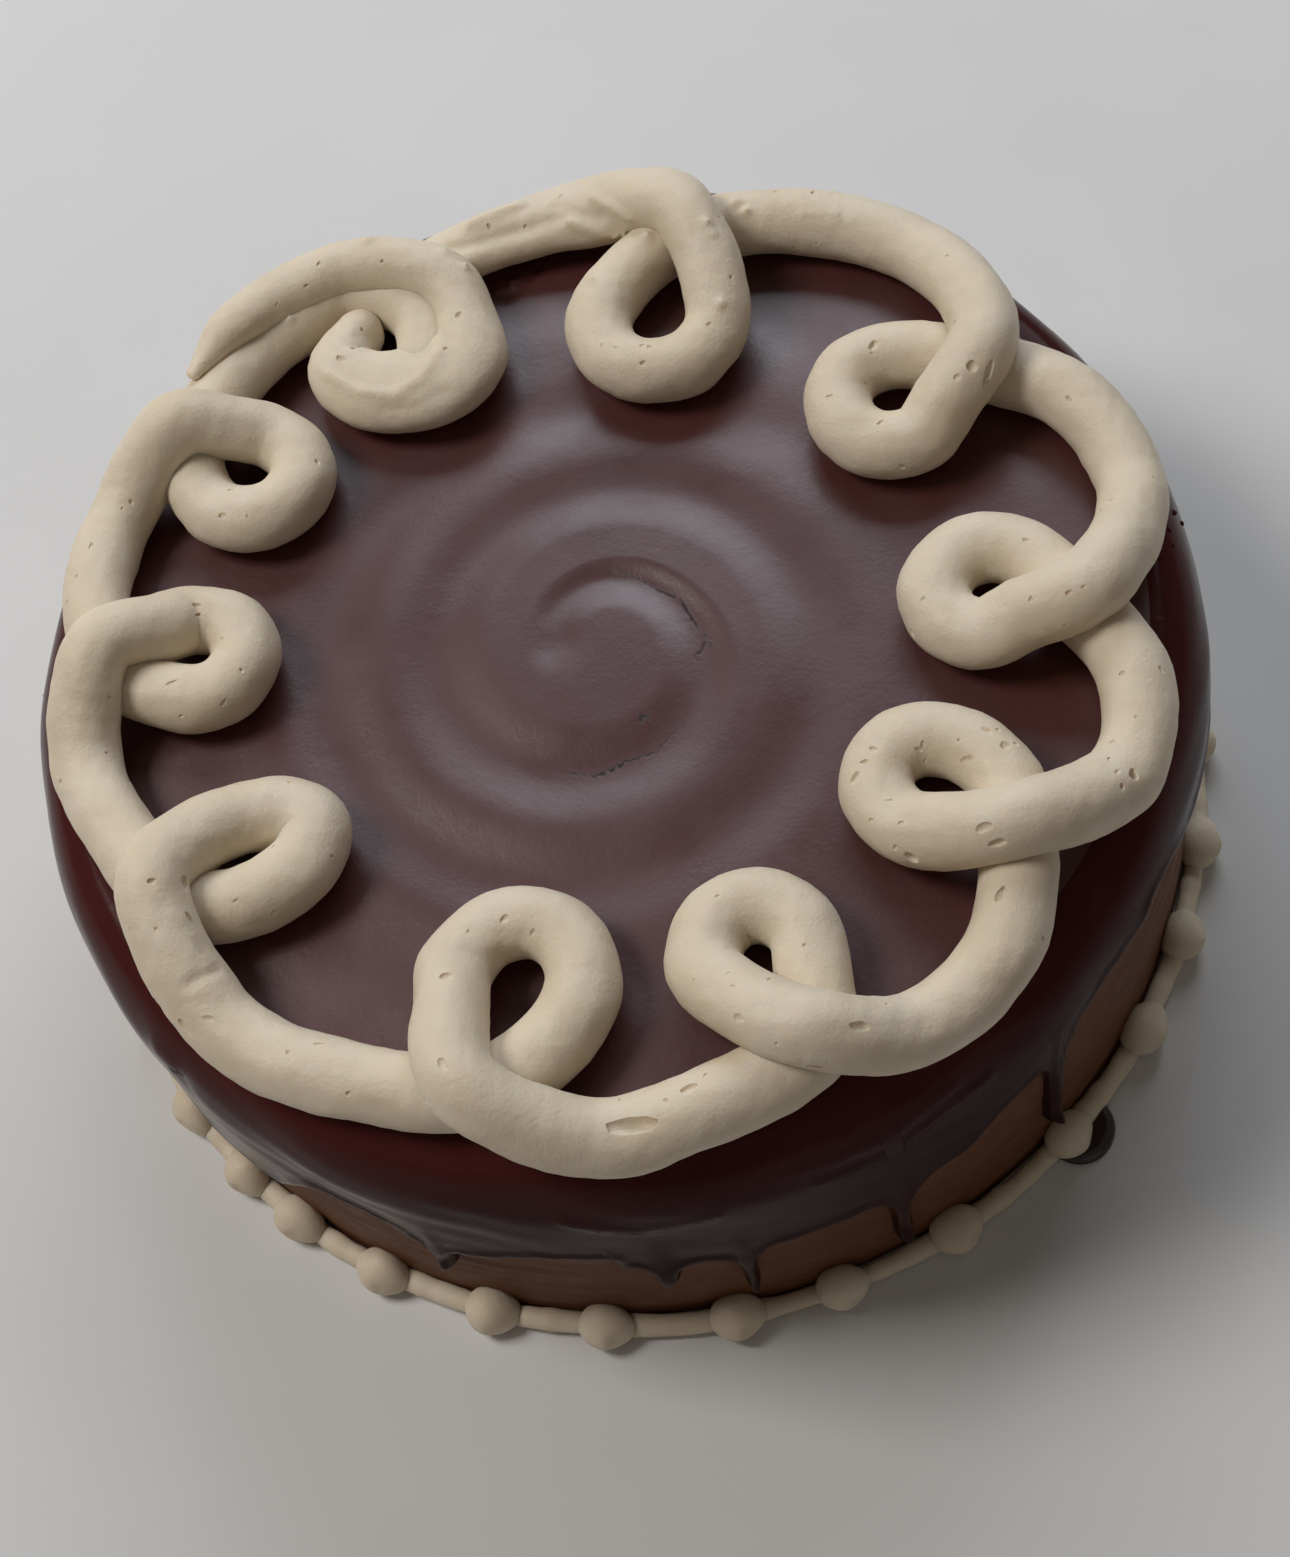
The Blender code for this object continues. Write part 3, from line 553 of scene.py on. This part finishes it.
def ganache_skirt(finish):
    """The shoulder and skirt, a closed sheet that lies on the cake's side, with its drips and crumbs."""
    bearings, edge = skirt_columns()
    turn = np.radians(bearings)
    length, out, up = profile(GLAZE_RADIUS, TOP_Z)
    _, cake_out, cake_up = profile(CAKE_RADIUS + 0.05, CAKE_TOP)
    wall_end = np.interp(-edge, -up[2:], length[2:])
    shares = np.concatenate([np.linspace(0, 1 - EDGE_SHARE, WALL_ROWS, endpoint=False),
                             1 - EDGE_SHARE * (1 - np.linspace(0, 1, EDGE_ROWS)) ** 2])
    s = shares[:, None] * wall_end[None, :]
    away = edge_distance(turn * SKIRT_RADIUS, wall_end, s)
    outer = on_profile(s, turn, length, out, up)
    inner = on_profile(s, turn, length, cake_out, cake_up)
    rounded = np.sqrt(1 - (1 - np.clip(away / EDGE_ROUND, 0, 1)) ** 2)
    lip = LIP_HIGH * np.exp(-(((away - LIP_AT) / LIP_WIDTH) ** 2))
    grow = rounded * (1 + lip + drip_bulge(bearings, outer[..., 2]))
    points = inner + (outer - inner) * grow[..., None]
    fade = smooth(0, 1, s / 14) * rounded
    lean = outer.copy()
    lean[..., 2] = 0
    lean /= np.linalg.norm(lean, axis=-1, keepdims=True)
    points += lean * (skirt_relief(outer) * fade)[..., None]
    back = [around(turn, CAKE_RADIUS - 0.6, np.minimum(edge + 0.6, 60.0)),
            around(turn, CAKE_RADIUS - 1.0, np.maximum(edge + 1.0, 50.0)),
            around(turn, TOP_RIM, CAKE_TOP)]
    rows = np.concatenate([points, np.array(back)])
    skirt = mesh_object("ganache_skirt", *merged([skin(rows, looped=True), *crumbs()]), finish)
    press_marks(skirt, RUN_MARKS)
    return skirt


# The cake's own side
def buttercream_side(finish):
    """The cake's own body, streaked round its side and kept just under the ganache."""
    top = CAKE_TOP - SIDE_GAP
    bearings = np.radians(np.arange(0, 360, 0.5))
    heights = np.concatenate([[0.0], np.arange(0.6, 50, 0.75)])
    rows = []
    for z in heights:
        row = around(bearings, CAKE_RADIUS, z)
        streaks = 0.10 * ripples(row, 3.2, 61, stretch=(14, 14, 1)) + 0.08 * ripples(row, 26.0, 62)
        rows.append(around(bearings, CAKE_RADIUS - 0.12 + np.clip(streaks, -0.3, 0.2), z))
    for share in np.linspace(0, 1, 8):
        out = FLAT_RADIUS + (CAKE_RADIUS - SIDE_GAP - FLAT_RADIUS) * cos(share * pi / 2)
        up = SHOULDER_Z - SIDE_GAP + (top - SHOULDER_Z) * sin(share * pi / 2)
        rows.append(around(bearings, out, up))
    made = skin(np.array(rows), first=(0, 0, 0), last=(0, 0, top))
    return mesh_object("buttercream_side", *made, finish)


# The piped rope
def top_surface(x, y):
    """Height of the ganache under the rope: flat, then falling over the shoulder."""
    share = np.clip((np.hypot(x, y) - FLAT_RADIUS) / (GLAZE_RADIUS - FLAT_RADIUS), 0, 1)
    return SHOULDER_Z + (TOP_Z - SHOULDER_Z) * np.sqrt(1 - share * share)


def plain_dab(point, lift=0.0):
    return Dab(point.x, point.y, lift, ROPE_WIDTH, ROPE_HEIGHT)


def main_stroke():
    """Control points of the long stroke: its first stretch, the loops with runs between them, its end."""
    points = list(FIRST_STRETCH)
    for loop, following in zip(LOOPS, LOOPS[1:] + (None,)):
        turn = radians(loop.bearing)
        outwards = Vector((cos(turn), sin(turn)))
        along = Vector((-sin(turn), cos(turn)))
        lean = radians(loop.lean)
        side = along * cos(lean) - outwards * sin(lean)
        reach = outwards * cos(lean) + along * sin(lean)
        middle = outwards * loop.radius
        cross = middle + along * loop.along + outwards * loop.out
        points.append(plain_dab(cross))
        for degrees_round, lift in LOOP_TURNS:
            round_loop = radians(degrees_round)
            spot = side * loop.half_width * cos(round_loop) - reach * loop.half_reach * sin(round_loop)
            points.append(plain_dab(middle + spot, lift))
        points.append(plain_dab(cross + (outwards - along / 2) * loop.over, CROSS_LIFT))
        if following:
            gap = following.bearing - loop.bearing
            for share, radius in ((0.32, loop.run_near), (0.66, loop.run_far)):
                run = radians(loop.bearing + gap * share)
                points.append(plain_dab(Vector((cos(run), sin(run))) * radius))
    return points + list(LAST_STRETCH)


def centripetal(points):
    """Rows of x, y, lift, width and height on a centripetal Catmull-Rom spline through the dabs."""
    knots = np.array([points[0]] + list(points) + [points[-1]], float)
    found = []
    for p in zip(knots, knots[1:], knots[2:], knots[3:]):
        t = [0.0]
        for a, b in zip(p, p[1:]):
            t.append(t[-1] + max(np.linalg.norm(a[:3] - b[:3]), 1e-4) ** 0.5)
        for at in t[1] + (t[2] - t[1]) * np.arange(SPLINE_STEPS) / SPLINE_STEPS:
            level = list(p)
            for reach in (1, 2):
                level = [(level[i] * (t[i + reach] - at) + level[i + 1] * (at - t[i]))
                         / (t[i + reach] - t[i]) for i in range(len(level) - 1)]
            found.append((level[0] * (t[2] - at) + level[1] * (at - t[1])) / (t[2] - t[1]))
    return np.array(found + [knots[-1]])


def even_steps(path, step):
    """The path resampled at equal steps along its length."""
    lengths = np.concatenate([[0], np.cumsum(np.linalg.norm(np.diff(path[:, :3], axis=0), axis=1))])
    at = np.linspace(0, lengths[-1], round(lengths[-1] / step) + 1)
    return np.stack([np.interp(at, lengths, column) for column in path.T], axis=1), at


def unit(vectors):
    return vectors / np.linalg.norm(vectors, axis=-1, keepdims=True)


def rope_rows(stroke, seed):
    """Rings of the rope along a stroke, with rounded ends and its hand-piped unevenness."""
    path, at = even_steps(centripetal(stroke), ROPE_STEP)
    centres = path[:, :3].copy()
    centres[:, 2] += top_surface(path[:, 0], path[:, 1]) + ROPE_REST
    for _ in range(3):
        centres[1:-1, 2] = (centres[:-2, 2] + centres[1:-1, 2] + centres[2:, 2]) / 3
    ahead = unit(np.gradient(centres, axis=0))
    side = unit(np.cross(ahead, [0, 0, 1]))
    up = np.cross(side, ahead)
    even = 2 * pi * np.arange(ROPE_SIDES) / ROPE_SIDES
    turn = even + 0.35 * np.sin(even) - pi / 2
    swell = 1 + ROPE_SWELL * ripples(np.stack([at, 0 * at, 0 * at], axis=-1), 30.0, seed)
    half_wide, half_high = path[:, 3] * swell / 2, path[:, 4] * swell / 2
    wide = side[:, None, :] * (np.cos(turn)[None, :] * half_wide[:, None])[..., None]
    high = up[:, None, :] * (np.sin(turn)[None, :] * half_high[:, None])[..., None]
    rows = centres[:, None, :] + wide + high
    first = rounded_end(rows[0], -ahead[0], half_high[0])
    last = rounded_end(rows[-1], ahead[-1], half_high[-1])
    tips = (first[-1].mean(axis=0), last[-1].mean(axis=0))
    rows = np.concatenate([first[:-1][::-1], rows, last[:-1]])
    middles = rows.mean(axis=1, keepdims=True)
    lumps = ROPE_LUMP * ripples(rows, 11.0, seed + 1) + ROPE_RIPPLE * ripples(rows, 3.6, seed + 2)
    rows += unit(rows - middles) * lumps[..., None]
    rows[..., 2] = np.maximum(rows[..., 2], top_surface(rows[..., 0], rows[..., 1]) - 0.05)
    return rows, tips


def rounded_end(ring, outwards, reach):
    """Shrinking rings that close the rope with a round end; the last is nearly a point."""
    middle = ring.mean(axis=0)
    turns = np.linspace(0, pi / 2, END_RINGS + 1)[1:]
    return np.array([middle + (ring - middle) * max(cos(t), 1e-3) + outwards * reach * sin(t)
                     for t in turns])


def view_axes():
    """The camera's right, up and forward directions, rolled as the photograph is."""
    forward = (AIM - CAMERA_AT).normalized()
    right = forward.cross(Vector((0, 0, 1))).normalized()
    up = right.cross(forward)
    return right * cos(ROLL) + up * sin(ROLL), up * cos(ROLL) - right * sin(ROLL), forward


def sight(tree, x, y):
    """Where a pixel of the photograph's frame falls on a piece: the point and the surface's direction."""
    right, up, forward = view_axes()
    ray = forward + right * ((x - VIEW_MIDDLE[0]) / FOCAL) - up * ((y - VIEW_MIDDLE[1]) / FOCAL)
    point, normal, _, _ = tree.ray_cast(CAMERA_AT, ray.normalized())
    return point, normal


def press_marks(piece, marks):
    """Presses lines into a piece or raises them, along straight runs between two sighted points."""
    tree = BVHTree.FromObject(piece, bpy.context.evaluated_depsgraph_get())
    verts = piece.data.vertices
    points = np.array([v.co for v in verts]) / MM
    normals = np.array([v.normal for v in verts])
    push = np.zeros(len(points))
    for mark in marks:
        start, start_normal = sight(tree, mark.x0, mark.y0)
        end, _ = sight(tree, mark.x1, mark.y1)
        if start is None or end is None:
            continue
        start, way = np.array(start) / MM, np.array(end - start) / MM
        share = np.clip((points - start) @ way / max(way @ way, 1e-9), 0, 1)
        away = np.linalg.norm(points - start - share[:, None] * way, axis=1)
        faces_it = normals @ np.array(start_normal) > 0
        pressed_here = np.where(faces_it, -mark.deep * np.exp(-((away / mark.wide) ** 2)), 0)
        push = np.where(np.abs(pressed_here) > np.abs(push), pressed_here, push)
    points += normals * push[:, None]
    verts.foreach_set("co", (points * MM).ravel())
    piece.data.update()


def uneven_ball(point, normal, direction, half_long, half_wide, deep, seed):
    """A small uneven ellipsoid on a surface, as an air hole's cutter or a crumb, sizes in millimetres."""
    bm = bmesh.new()
    bmesh.ops.create_icosphere(bm, subdivisions=2, radius=1.0)
    points = np.array([v.co for v in bm.verts])
    faces = [[v.index for v in face.verts] for face in bm.faces]
    bm.free()
    points *= (1 + 0.13 * ripples(points, 1.6, seed))[:, None]
    along = (direction - normal * direction.dot(normal)).normalized()
    across = normal.cross(along)
    axes = np.array([along * half_long, across * half_wide, normal * deep])
    return np.array(point) / MM + points @ axes, faces


def cut_holes(rope, seed):
    """Cuts the air holes that the photograph shows, and some fine ones at random, into the rope."""
    tree = BVHTree.FromObject(rope, bpy.context.evaluated_depsgraph_get())
    right, up, _ = view_axes()
    cutters = []
    for i, hole in enumerate(HOLES):
        point, normal = sight(tree, hole.x, hole.y)
        if point is None:
            continue
        turn = radians(hole.turn)
        direction = right * cos(turn) + up * sin(turn)
        half_long, half_wide = hole.long * PIXEL_MM / 2, hole.wide * PIXEL_MM / 2
        middle = point + normal * 0.1 * half_wide * MM
        cutters.append(uneven_ball(middle, normal, direction, half_long, half_wide, 0.85 * half_wide,
                                   200 + i))
    rng = np.random.default_rng(seed)
    verts = rope.data.vertices
    wanted = round(FINE_HOLES * len(verts) / HOLED_POINTS)
    for i in rng.integers(0, len(verts), wanted):
        vert = verts[int(i)]
        if vert.normal.z > -0.1:
            size = rng.uniform(0.22, 0.5)
            direction = Vector(rng.normal(size=3))
            longer = size * rng.uniform(1, 1.9)
            cutters.append(uneven_ball(vert.co, vert.normal, direction, longer, size, size * 0.8,
                                       900 + int(i)))
    cutter = mesh_object("hole_cutter", *merged(cutters), None)
    cut = rope.modifiers.new("holes", "BOOLEAN")
    cut.operation = "DIFFERENCE"
    cut.solver = "MANIFOLD"
    cut.object = cutter
    bpy.context.view_layer.update()
    mesh = bpy.data.meshes.new_from_object(rope.evaluated_get(bpy.context.evaluated_depsgraph_get()))
    rope.modifiers.clear()
    rope.data = mesh
    mesh.shade_smooth()
    mesh.set_sharp_from_angle(angle=radians(38))
    bpy.data.objects.remove(cutter, do_unlink=True)


def piped_rope(name, stroke, marks, seed, finish):
    rows, tips = rope_rows(stroke, seed)
    rope = mesh_object(name, *skin(rows, first=tips[0], last=tips[1]), finish)
    press_marks(rope, marks)
    cut_holes(rope, seed)
    return rope


# The foot
def bead_bearings():
    first, last = BEADS_SEEN[-1], BEADS_SEEN[0] + 360
    step = (last - first) / (BEADS_BEHIND + 1)
    return list(BEADS_SEEN) + [first + step * (i + 1) for i in range(BEADS_BEHIND)]


def pressed(points):
    """Points flattened where they touch the side of the cake and the surface it stands on."""
    out = np.hypot(points[..., 0], points[..., 1])
    points[..., :2] *= (np.maximum(out, CAKE_RADIUS - 0.2) / out)[..., None]
    points[..., 2] = np.maximum(points[..., 2], 0.0)
    return points


def bead(bearing, rng, seed):
    """One dollop: round where it was set down, drawn out to one side, with a dimple where it tore off."""
    polar = np.linspace(0, pi, BEAD_RINGS + 2)[1:-1, None]
    turn = np.linspace(0, 2 * pi, BEAD_SIDES, endpoint=False)
    ball = np.stack([np.sin(polar) * np.cos(turn), np.sin(polar) * np.sin(turn),
                     np.cos(polar) * np.ones(BEAD_SIDES)], axis=-1)
    at = radians(bearing)
    along, outwards = np.array([-sin(at), cos(at), 0]), np.array([cos(at), sin(at), 0])
    dimple = unit(np.array([rng.uniform(0.25, 0.55), rng.uniform(0.7, 0.95), rng.uniform(0.1, 0.5)]))
    curl = unit(dimple + np.array([-0.45, 0.0, rng.uniform(-0.3, 0.1)]))
    to_dimple = np.arccos(np.clip(ball @ dimple, -1, 1))
    to_curl = np.arccos(np.clip(ball @ curl, -1, 1))
    size = np.array(BEAD_SIZE) / 2 * rng.uniform(0.93, 1.06, size=3)
    grow = 1 + 0.018 * ripples(ball, 1.8, seed) + 0.05 * np.exp(-((to_curl / 0.4) ** 2))
    grow -= rng.uniform(0.08, 0.16) * np.exp(-((to_dimple / 0.24) ** 2))
    body = ball * grow[..., None] * size
    drawn = np.clip(ball[..., 0], 0, 1) ** 1.6
    body[..., 0] *= 1 + 0.12 * drawn
    body[..., 1] *= 1 - 0.12 * drawn
    body[..., 2] -= 0.2 * size[2] * drawn
    middle = outwards * BEAD_RADIUS + np.array([0, 0, BEAD_SIZE[2] * BEAD_SQUASH])
    points = middle + body @ np.array([along, outwards, [0, 0, 1]])
    ends = pressed(points[:1].mean(axis=1)), pressed(points[-1:].mean(axis=1))
    return skin(pressed(points), first=ends[0][0], last=ends[1][0])


def foot_line():
    """The thin piped line, a closed tube of uneven thickness."""
    turn = 2 * pi * np.arange(LINE_STEPS) / LINE_STEPS
    way = around(turn, LINE_RADIUS, 0.0)
    swell = 1 + 0.07 * ripples(way, 14.0, 71) + 0.04 * ripples(way, 4.0, 72)
    lie = 2 * pi * np.arange(LINE_SIDES) / LINE_SIDES
    wander = 0.15 * ripples(way, 30.0, 73)[:, None]
    out = LINE_RADIUS + wander + np.cos(lie) * (LINE_WIDTH / 2 * swell)[:, None]
    high = LINE_HEIGHT / 2 * swell[:, None] * (1 + np.sin(lie))
    rows = np.stack([out * np.cos(turn)[:, None], out * np.sin(turn)[:, None], high], axis=-1)
    return skin(pressed(rows), looped=True)


def foot_border(finish):
    rng = np.random.default_rng(8)
    parts = [foot_line()] + [bead(b, rng, 300 + i) for i, b in enumerate(bead_bearings())]
    return mesh_object("foot_border", *merged(parts), finish)


def pool(finish):
    """The flat puddle with its rounded edge, which runs under the bead beside it."""
    at = radians(POOL_BEARING)
    middle = np.array([cos(at), sin(at), 0]) * POOL_RADIUS_AT
    turn = np.linspace(0, 2 * pi, POOL_SIDES, endpoint=False)
    edge = POOL_SIZE * (1 + 0.03 * np.sin(2 * turn + 1) + 0.02 * np.sin(3 * turn))
    rows = []
    for share in POOL_SHARES:
        past_flat = max(share - POOL_FLAT, 0)
        height = POOL_DEPTH * np.sqrt(np.clip(1 - past_flat ** 2 / POOL_ROUND ** 2, 0, 1))
        rows.append(around(turn, edge * share, height) + middle)
    rows[-1][:, 2] = 0.0
    made = skin(np.array(rows), first=middle + (0, 0, POOL_DEPTH), last=middle)
    return mesh_object("pool", *made, finish)


# Materials
def shader(name, **values):
    """A material and its nodes, with the plain values set on the Principled shader's own sockets."""
    made = bpy.data.materials.new(name)
    made.use_nodes = True
    principled = made.node_tree.nodes["Principled BSDF"]
    for socket, value in values.items():
        principled.inputs[socket.replace("_", " ")].default_value = value
    return made, made.node_tree


def dressed(made, **sources):
    """The material, with what varies over the surface linked to its shader."""
    principled = made.node_tree.nodes["Principled BSDF"]
    for socket, source in sources.items():
        made.node_tree.links.new(source, principled.inputs[socket.replace("_", " ")])
    return made


def noise(tree, scale, detail=4.0, stretch=(1, 1, 1), roughness=0.55):
    """A noise over the object's own coordinates; scale is in features a metre."""
    place = tree.nodes.new("ShaderNodeTexCoord")
    squeeze = tree.nodes.new("ShaderNodeMapping")
    squeeze.inputs["Scale"].default_value = stretch
    made = tree.nodes.new("ShaderNodeTexNoise")
    made.inputs["Scale"].default_value = scale
    made.inputs["Detail"].default_value = detail
    made.inputs["Roughness"].default_value = roughness
    tree.links.new(place.outputs["Object"], squeeze.inputs["Vector"])
    tree.links.new(squeeze.outputs["Vector"], made.inputs["Vector"])
    return made.outputs["Fac"]


def ramp(tree, source, *stops):
    """Colours by value: each stop is a position and a colour."""
    made = tree.nodes.new("ShaderNodeValToRGB")
    elements = made.color_ramp.elements
    while len(elements) < len(stops):
        elements.new(0.5)
    for element, (position, colour) in zip(elements, stops):
        element.position = position
        element.color = (*colour, 1.0)
    tree.links.new(source, made.inputs["Fac"])
    return made.outputs["Color"]


def spread(tree, source, low, high):
    """A value mapped from the middle of a noise's range to low and high."""
    made = tree.nodes.new("ShaderNodeMapRange")
    made.inputs["From Min"].default_value = 0.3
    made.inputs["From Max"].default_value = 0.7
    made.inputs["To Min"].default_value = low
    made.inputs["To Max"].default_value = high
    tree.links.new(source, made.inputs["Value"])
    return made.outputs["Result"]


def bump(tree, source, height, after=None):
    """Fine relief of a height in metres, on top of another bump if one is given."""
    made = tree.nodes.new("ShaderNodeBump")
    made.inputs["Distance"].default_value = height
    tree.links.new(source, made.inputs["Height"])
    if after:
        tree.links.new(after, made.inputs["Normal"])
    return made.outputs["Normal"]


def height_share(tree, low, high):
    """A value that rises from 0 to 1 between two heights of the object, in metres."""
    place = tree.nodes.new("ShaderNodeTexCoord")
    apart = tree.nodes.new("ShaderNodeSeparateXYZ")
    made = tree.nodes.new("ShaderNodeMapRange")
    made.inputs["From Min"].default_value = low
    made.inputs["From Max"].default_value = high
    tree.links.new(place.outputs["Object"], apart.inputs["Vector"])
    tree.links.new(apart.outputs["Z"], made.inputs["Value"])
    return made.outputs["Result"]


def turned(tree, colour, attribute, other):
    """The colour, turned into the other one where the mesh's attribute is high."""
    found = tree.nodes.new("ShaderNodeAttribute")
    found.attribute_name = attribute
    made = tree.nodes.new("ShaderNodeMixRGB")
    made.inputs["Color2"].default_value = (*other, 1.0)
    tree.links.new(found.outputs["Fac"], made.inputs["Fac"])
    tree.links.new(colour, made.inputs["Color1"])
    return made.outputs["Color"]


def multiplied(tree, first, second):
    """The product of two colours."""
    made = tree.nodes.new("ShaderNodeMixRGB")
    made.blend_type = "MULTIPLY"
    made.inputs["Fac"].default_value = 1.0
    tree.links.new(first, made.inputs["Color1"])
    tree.links.new(second, made.inputs["Color2"])
    return made.outputs["Color"]


def ganache_finish(name, gloss, coat, roughness, wall_shade):
    """Ganache with painted shade: darker and greyer down the skirt's wall, near-black in the cracks."""
    made, tree = shader(name, Specular_IOR_Level=gloss, Coat_Weight=coat, Coat_Roughness=0.25)
    top = height_share(tree, 0.052, 0.0655)
    broad = noise(tree, 26.0, 5.0)
    colour = ramp(tree, broad, (0.3, (0.058, 0.0130, 0.0125)), (0.7, (0.072, 0.0165, 0.0160)))
    # Painted shade in the cracks: they turn near-black, as their dent is shallow
    colour = turned(tree, colour, "cracks", (0.006, 0.002, 0.002))
    # Painted shade on the skirt's wall: the colour is multiplied down below the shoulder, a little greyer
    # too
    deep = ramp(tree, top, (0.0, wall_shade), (1.0, (1.0, 1.0, 1.0)))
    dull = turned(tree, spread(tree, noise(tree, 60.0, 6.0), *roughness), "cracks", (0.9, 0.9, 0.9))
    fine = bump(tree, noise(tree, 1400.0, 3.0), 0.00003)
    relief = bump(tree, noise(tree, 320.0, 4.0), 0.00005, fine)
    return dressed(made, Base_Color=multiplied(tree, colour, deep), Roughness=dull, Normal=relief)


def pool_finish():
    """Glossy ganache, darker than the skirt's."""
    made, tree = shader("pooled_ganache", Specular_IOR_Level=0.5, Coat_Weight=0.6, Coat_Roughness=0.08)
    colour = ramp(tree, noise(tree, 120.0), (0.3, (0.016, 0.0075, 0.0060)), (0.7, (0.026, 0.0120, 0.0095)))
    gloss = spread(tree, noise(tree, 300.0), 0.16, 0.26)
    relief = bump(tree, noise(tree, 500.0), 0.00002)
    return dressed(made, Base_Color=colour, Roughness=gloss, Normal=relief)


def cream_finish():
    """Matt ivory buttercream, into which a little light sinks, with a fine grain."""
    made, tree = shader("ivory_cream", Subsurface_Weight=0.30, Subsurface_Radius=(1.0, 0.62, 0.36),
                        Subsurface_Scale=0.0035, Specular_IOR_Level=0.4)
    broad = noise(tree, 70.0, 6.0)
    colour = ramp(tree, broad, (0.30, (0.650, 0.545, 0.400)), (0.52, (0.700, 0.600, 0.455)),
                  (0.72, (0.730, 0.640, 0.505)))
    gloss = spread(tree, noise(tree, 240.0), 0.48, 0.62)
    fine = bump(tree, noise(tree, 1600.0, 4.0), 0.00011)
    relief = bump(tree, noise(tree, 420.0, 4.0), 0.00014, fine)
    return dressed(made, Base_Color=colour, Roughness=gloss, Normal=relief)


def side_finish():
    """Matt milk chocolate buttercream, streaked round the cake."""
    made, tree = shader("milk_chocolate_cream", Subsurface_Weight=0.10,
                        Subsurface_Radius=(1.0, 0.5, 0.3), Subsurface_Scale=0.002,
                        Specular_IOR_Level=0.2)
    streaks = noise(tree, 60.0, 6.0, stretch=(1, 1, 7))
    colour = ramp(tree, streaks, (0.3, (0.112, 0.040, 0.015)), (0.7, (0.150, 0.056, 0.022)))
    gloss = spread(tree, noise(tree, 200.0), 0.52, 0.68)
    fine = bump(tree, noise(tree, 1500.0, 4.0), 0.00006)
    combed = bump(tree, noise(tree, 160.0, 4.0, stretch=(1, 1, 6)), 0.00016, fine)
    return dressed(made, Base_Color=colour, Roughness=gloss, Normal=combed)


def floor_finish():
    made, tree = shader("pale_floor", Specular_IOR_Level=0.3)
    colour = ramp(tree, noise(tree, 9.0), (0.3, (0.660, 0.652, 0.640)), (0.7, (0.700, 0.692, 0.680)))
    return dressed(made, Base_Color=colour, Roughness=spread(tree, noise(tree, 40.0), 0.6, 0.7))


# The stage
def lay_floor():
    bm = bmesh.new()
    bmesh.ops.create_grid(bm, x_segments=8, y_segments=8, size=FLOOR_REACH)
    mesh = bpy.data.meshes.new("floor")
    bm.to_mesh(mesh)
    bm.free()
    mesh.materials.append(floor_finish())
    floor = bpy.data.objects.new("floor", mesh)
    floor.location.z = -FLOOR_DROP
    bpy.context.scene.collection.objects.link(floor)
    floor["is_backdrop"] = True


def soft_light(name, bearing, elevation, distance, size, power, colour):
    """A rectangular soft light that faces the cake from a bearing and elevation in degrees."""
    made = bpy.data.lights.new(name, "AREA")
    made.shape = "RECTANGLE"
    made.size, made.size_y = size
    made.energy = power
    made.color = colour
    lamp = bpy.data.objects.new(name, made)
    turn, rise = radians(bearing), radians(elevation)
    away = Vector((cos(turn) * cos(rise), sin(turn) * cos(rise), sin(rise)))
    lamp.location = away * distance + Vector((0, 0, TOP_Z * MM))
    lamp.rotation_mode = "QUATERNION"
    lamp.rotation_quaternion = away.to_track_quat("Z", "Y")
    bpy.context.scene.collection.objects.link(lamp)


def light_stage():
    soft_light("window", 70, 38, 1.6, (1.3, 0.8), 14.0, (0.84, 0.91, 1.0))
    soft_light("key", 160, 55, 1.3, (0.45, 0.45), 9.2, (1.0, 0.97, 0.95))
    soft_light("fill", -70, 35, 1.8, (1.4, 1.0), 0.6, (1.0, 0.97, 0.94))
    world = bpy.data.worlds.new("studio")
    world.use_nodes = True
    background = world.node_tree.nodes["Background"]
    background.inputs["Color"].default_value = (1.0, 0.92, 0.82, 1.0)
    background.inputs["Strength"].default_value = 0.11
    bpy.context.scene.world = world
    bpy.context.scene.view_settings.view_transform = "Standard"


def set_camera():
    data = bpy.data.cameras.new("camera")
    data.sensor_width = SENSOR
    data.lens = FOCAL * SENSOR / max(IMAGE)
    data.shift_x = (IMAGE[0] / 2 - VIEW_MIDDLE[0]) / max(IMAGE)
    data.shift_y = (VIEW_MIDDLE[1] - IMAGE[1] / 2) / max(IMAGE)
    data.clip_start, data.clip_end = 0.01, 20.0
    camera = bpy.data.objects.new("camera", data)
    right, up, forward = view_axes()
    axes = Matrix((right, up, -forward)).transposed().to_4x4()
    camera.matrix_world = Matrix.Translation(CAMERA_AT) @ axes
    bpy.context.scene.collection.objects.link(camera)
    bpy.context.scene.camera = camera


def place(piece, slot, *nodes):
    """The piece rides on the cake's only body and stands for its solids; the slot is not used."""
    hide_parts(*nodes)
    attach(piece, "root")


def main():
    set_camera()
    light_stage()
    lay_floor()
    satin = ganache_finish("satin_ganache", 0.62, 0.14, (0.33, 0.46), (1.0, 1.0, 1.0))
    # The skirt's ganache is painted darker and greyer down its wall, a painted shade
    glossy = ganache_finish("glossy_ganache", 0.05, 0.0, (0.13, 0.21), (0.44, 0.54, 0.56))
    cream = cream_finish()
    place(ganache_top(satin), "dark_ganache", "ganache_glaze")
    place(ganache_skirt(glossy), "dark_ganache", "ganache_glaze")
    place(buttercream_side(side_finish()), "chocolate_buttercream", "cake_body")
    scroll_marks = FOLDS + KNIFE_RIDGES + PEAKS + COMB
    scroll = piped_rope("scroll", main_stroke(), scroll_marks, 100, cream)
    place(scroll, "ivory_buttercream", "scroll_rope")
    ring = piped_rope("closing_ring", CLOSING_RING, RING_RIDGES + PEAKS, 150, cream)
    place(ring, "ivory_buttercream", "scroll_rope")
    place(foot_border(cream), "ivory_buttercream", "base_border")
    place(pool(pool_finish()), "dark_ganache", "ganache_pool")
    boxes = {"cad": cad_box, "visual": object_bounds()}
    {name: [list(low), list(high)] for name, (low, high) in boxes.items()}


main()
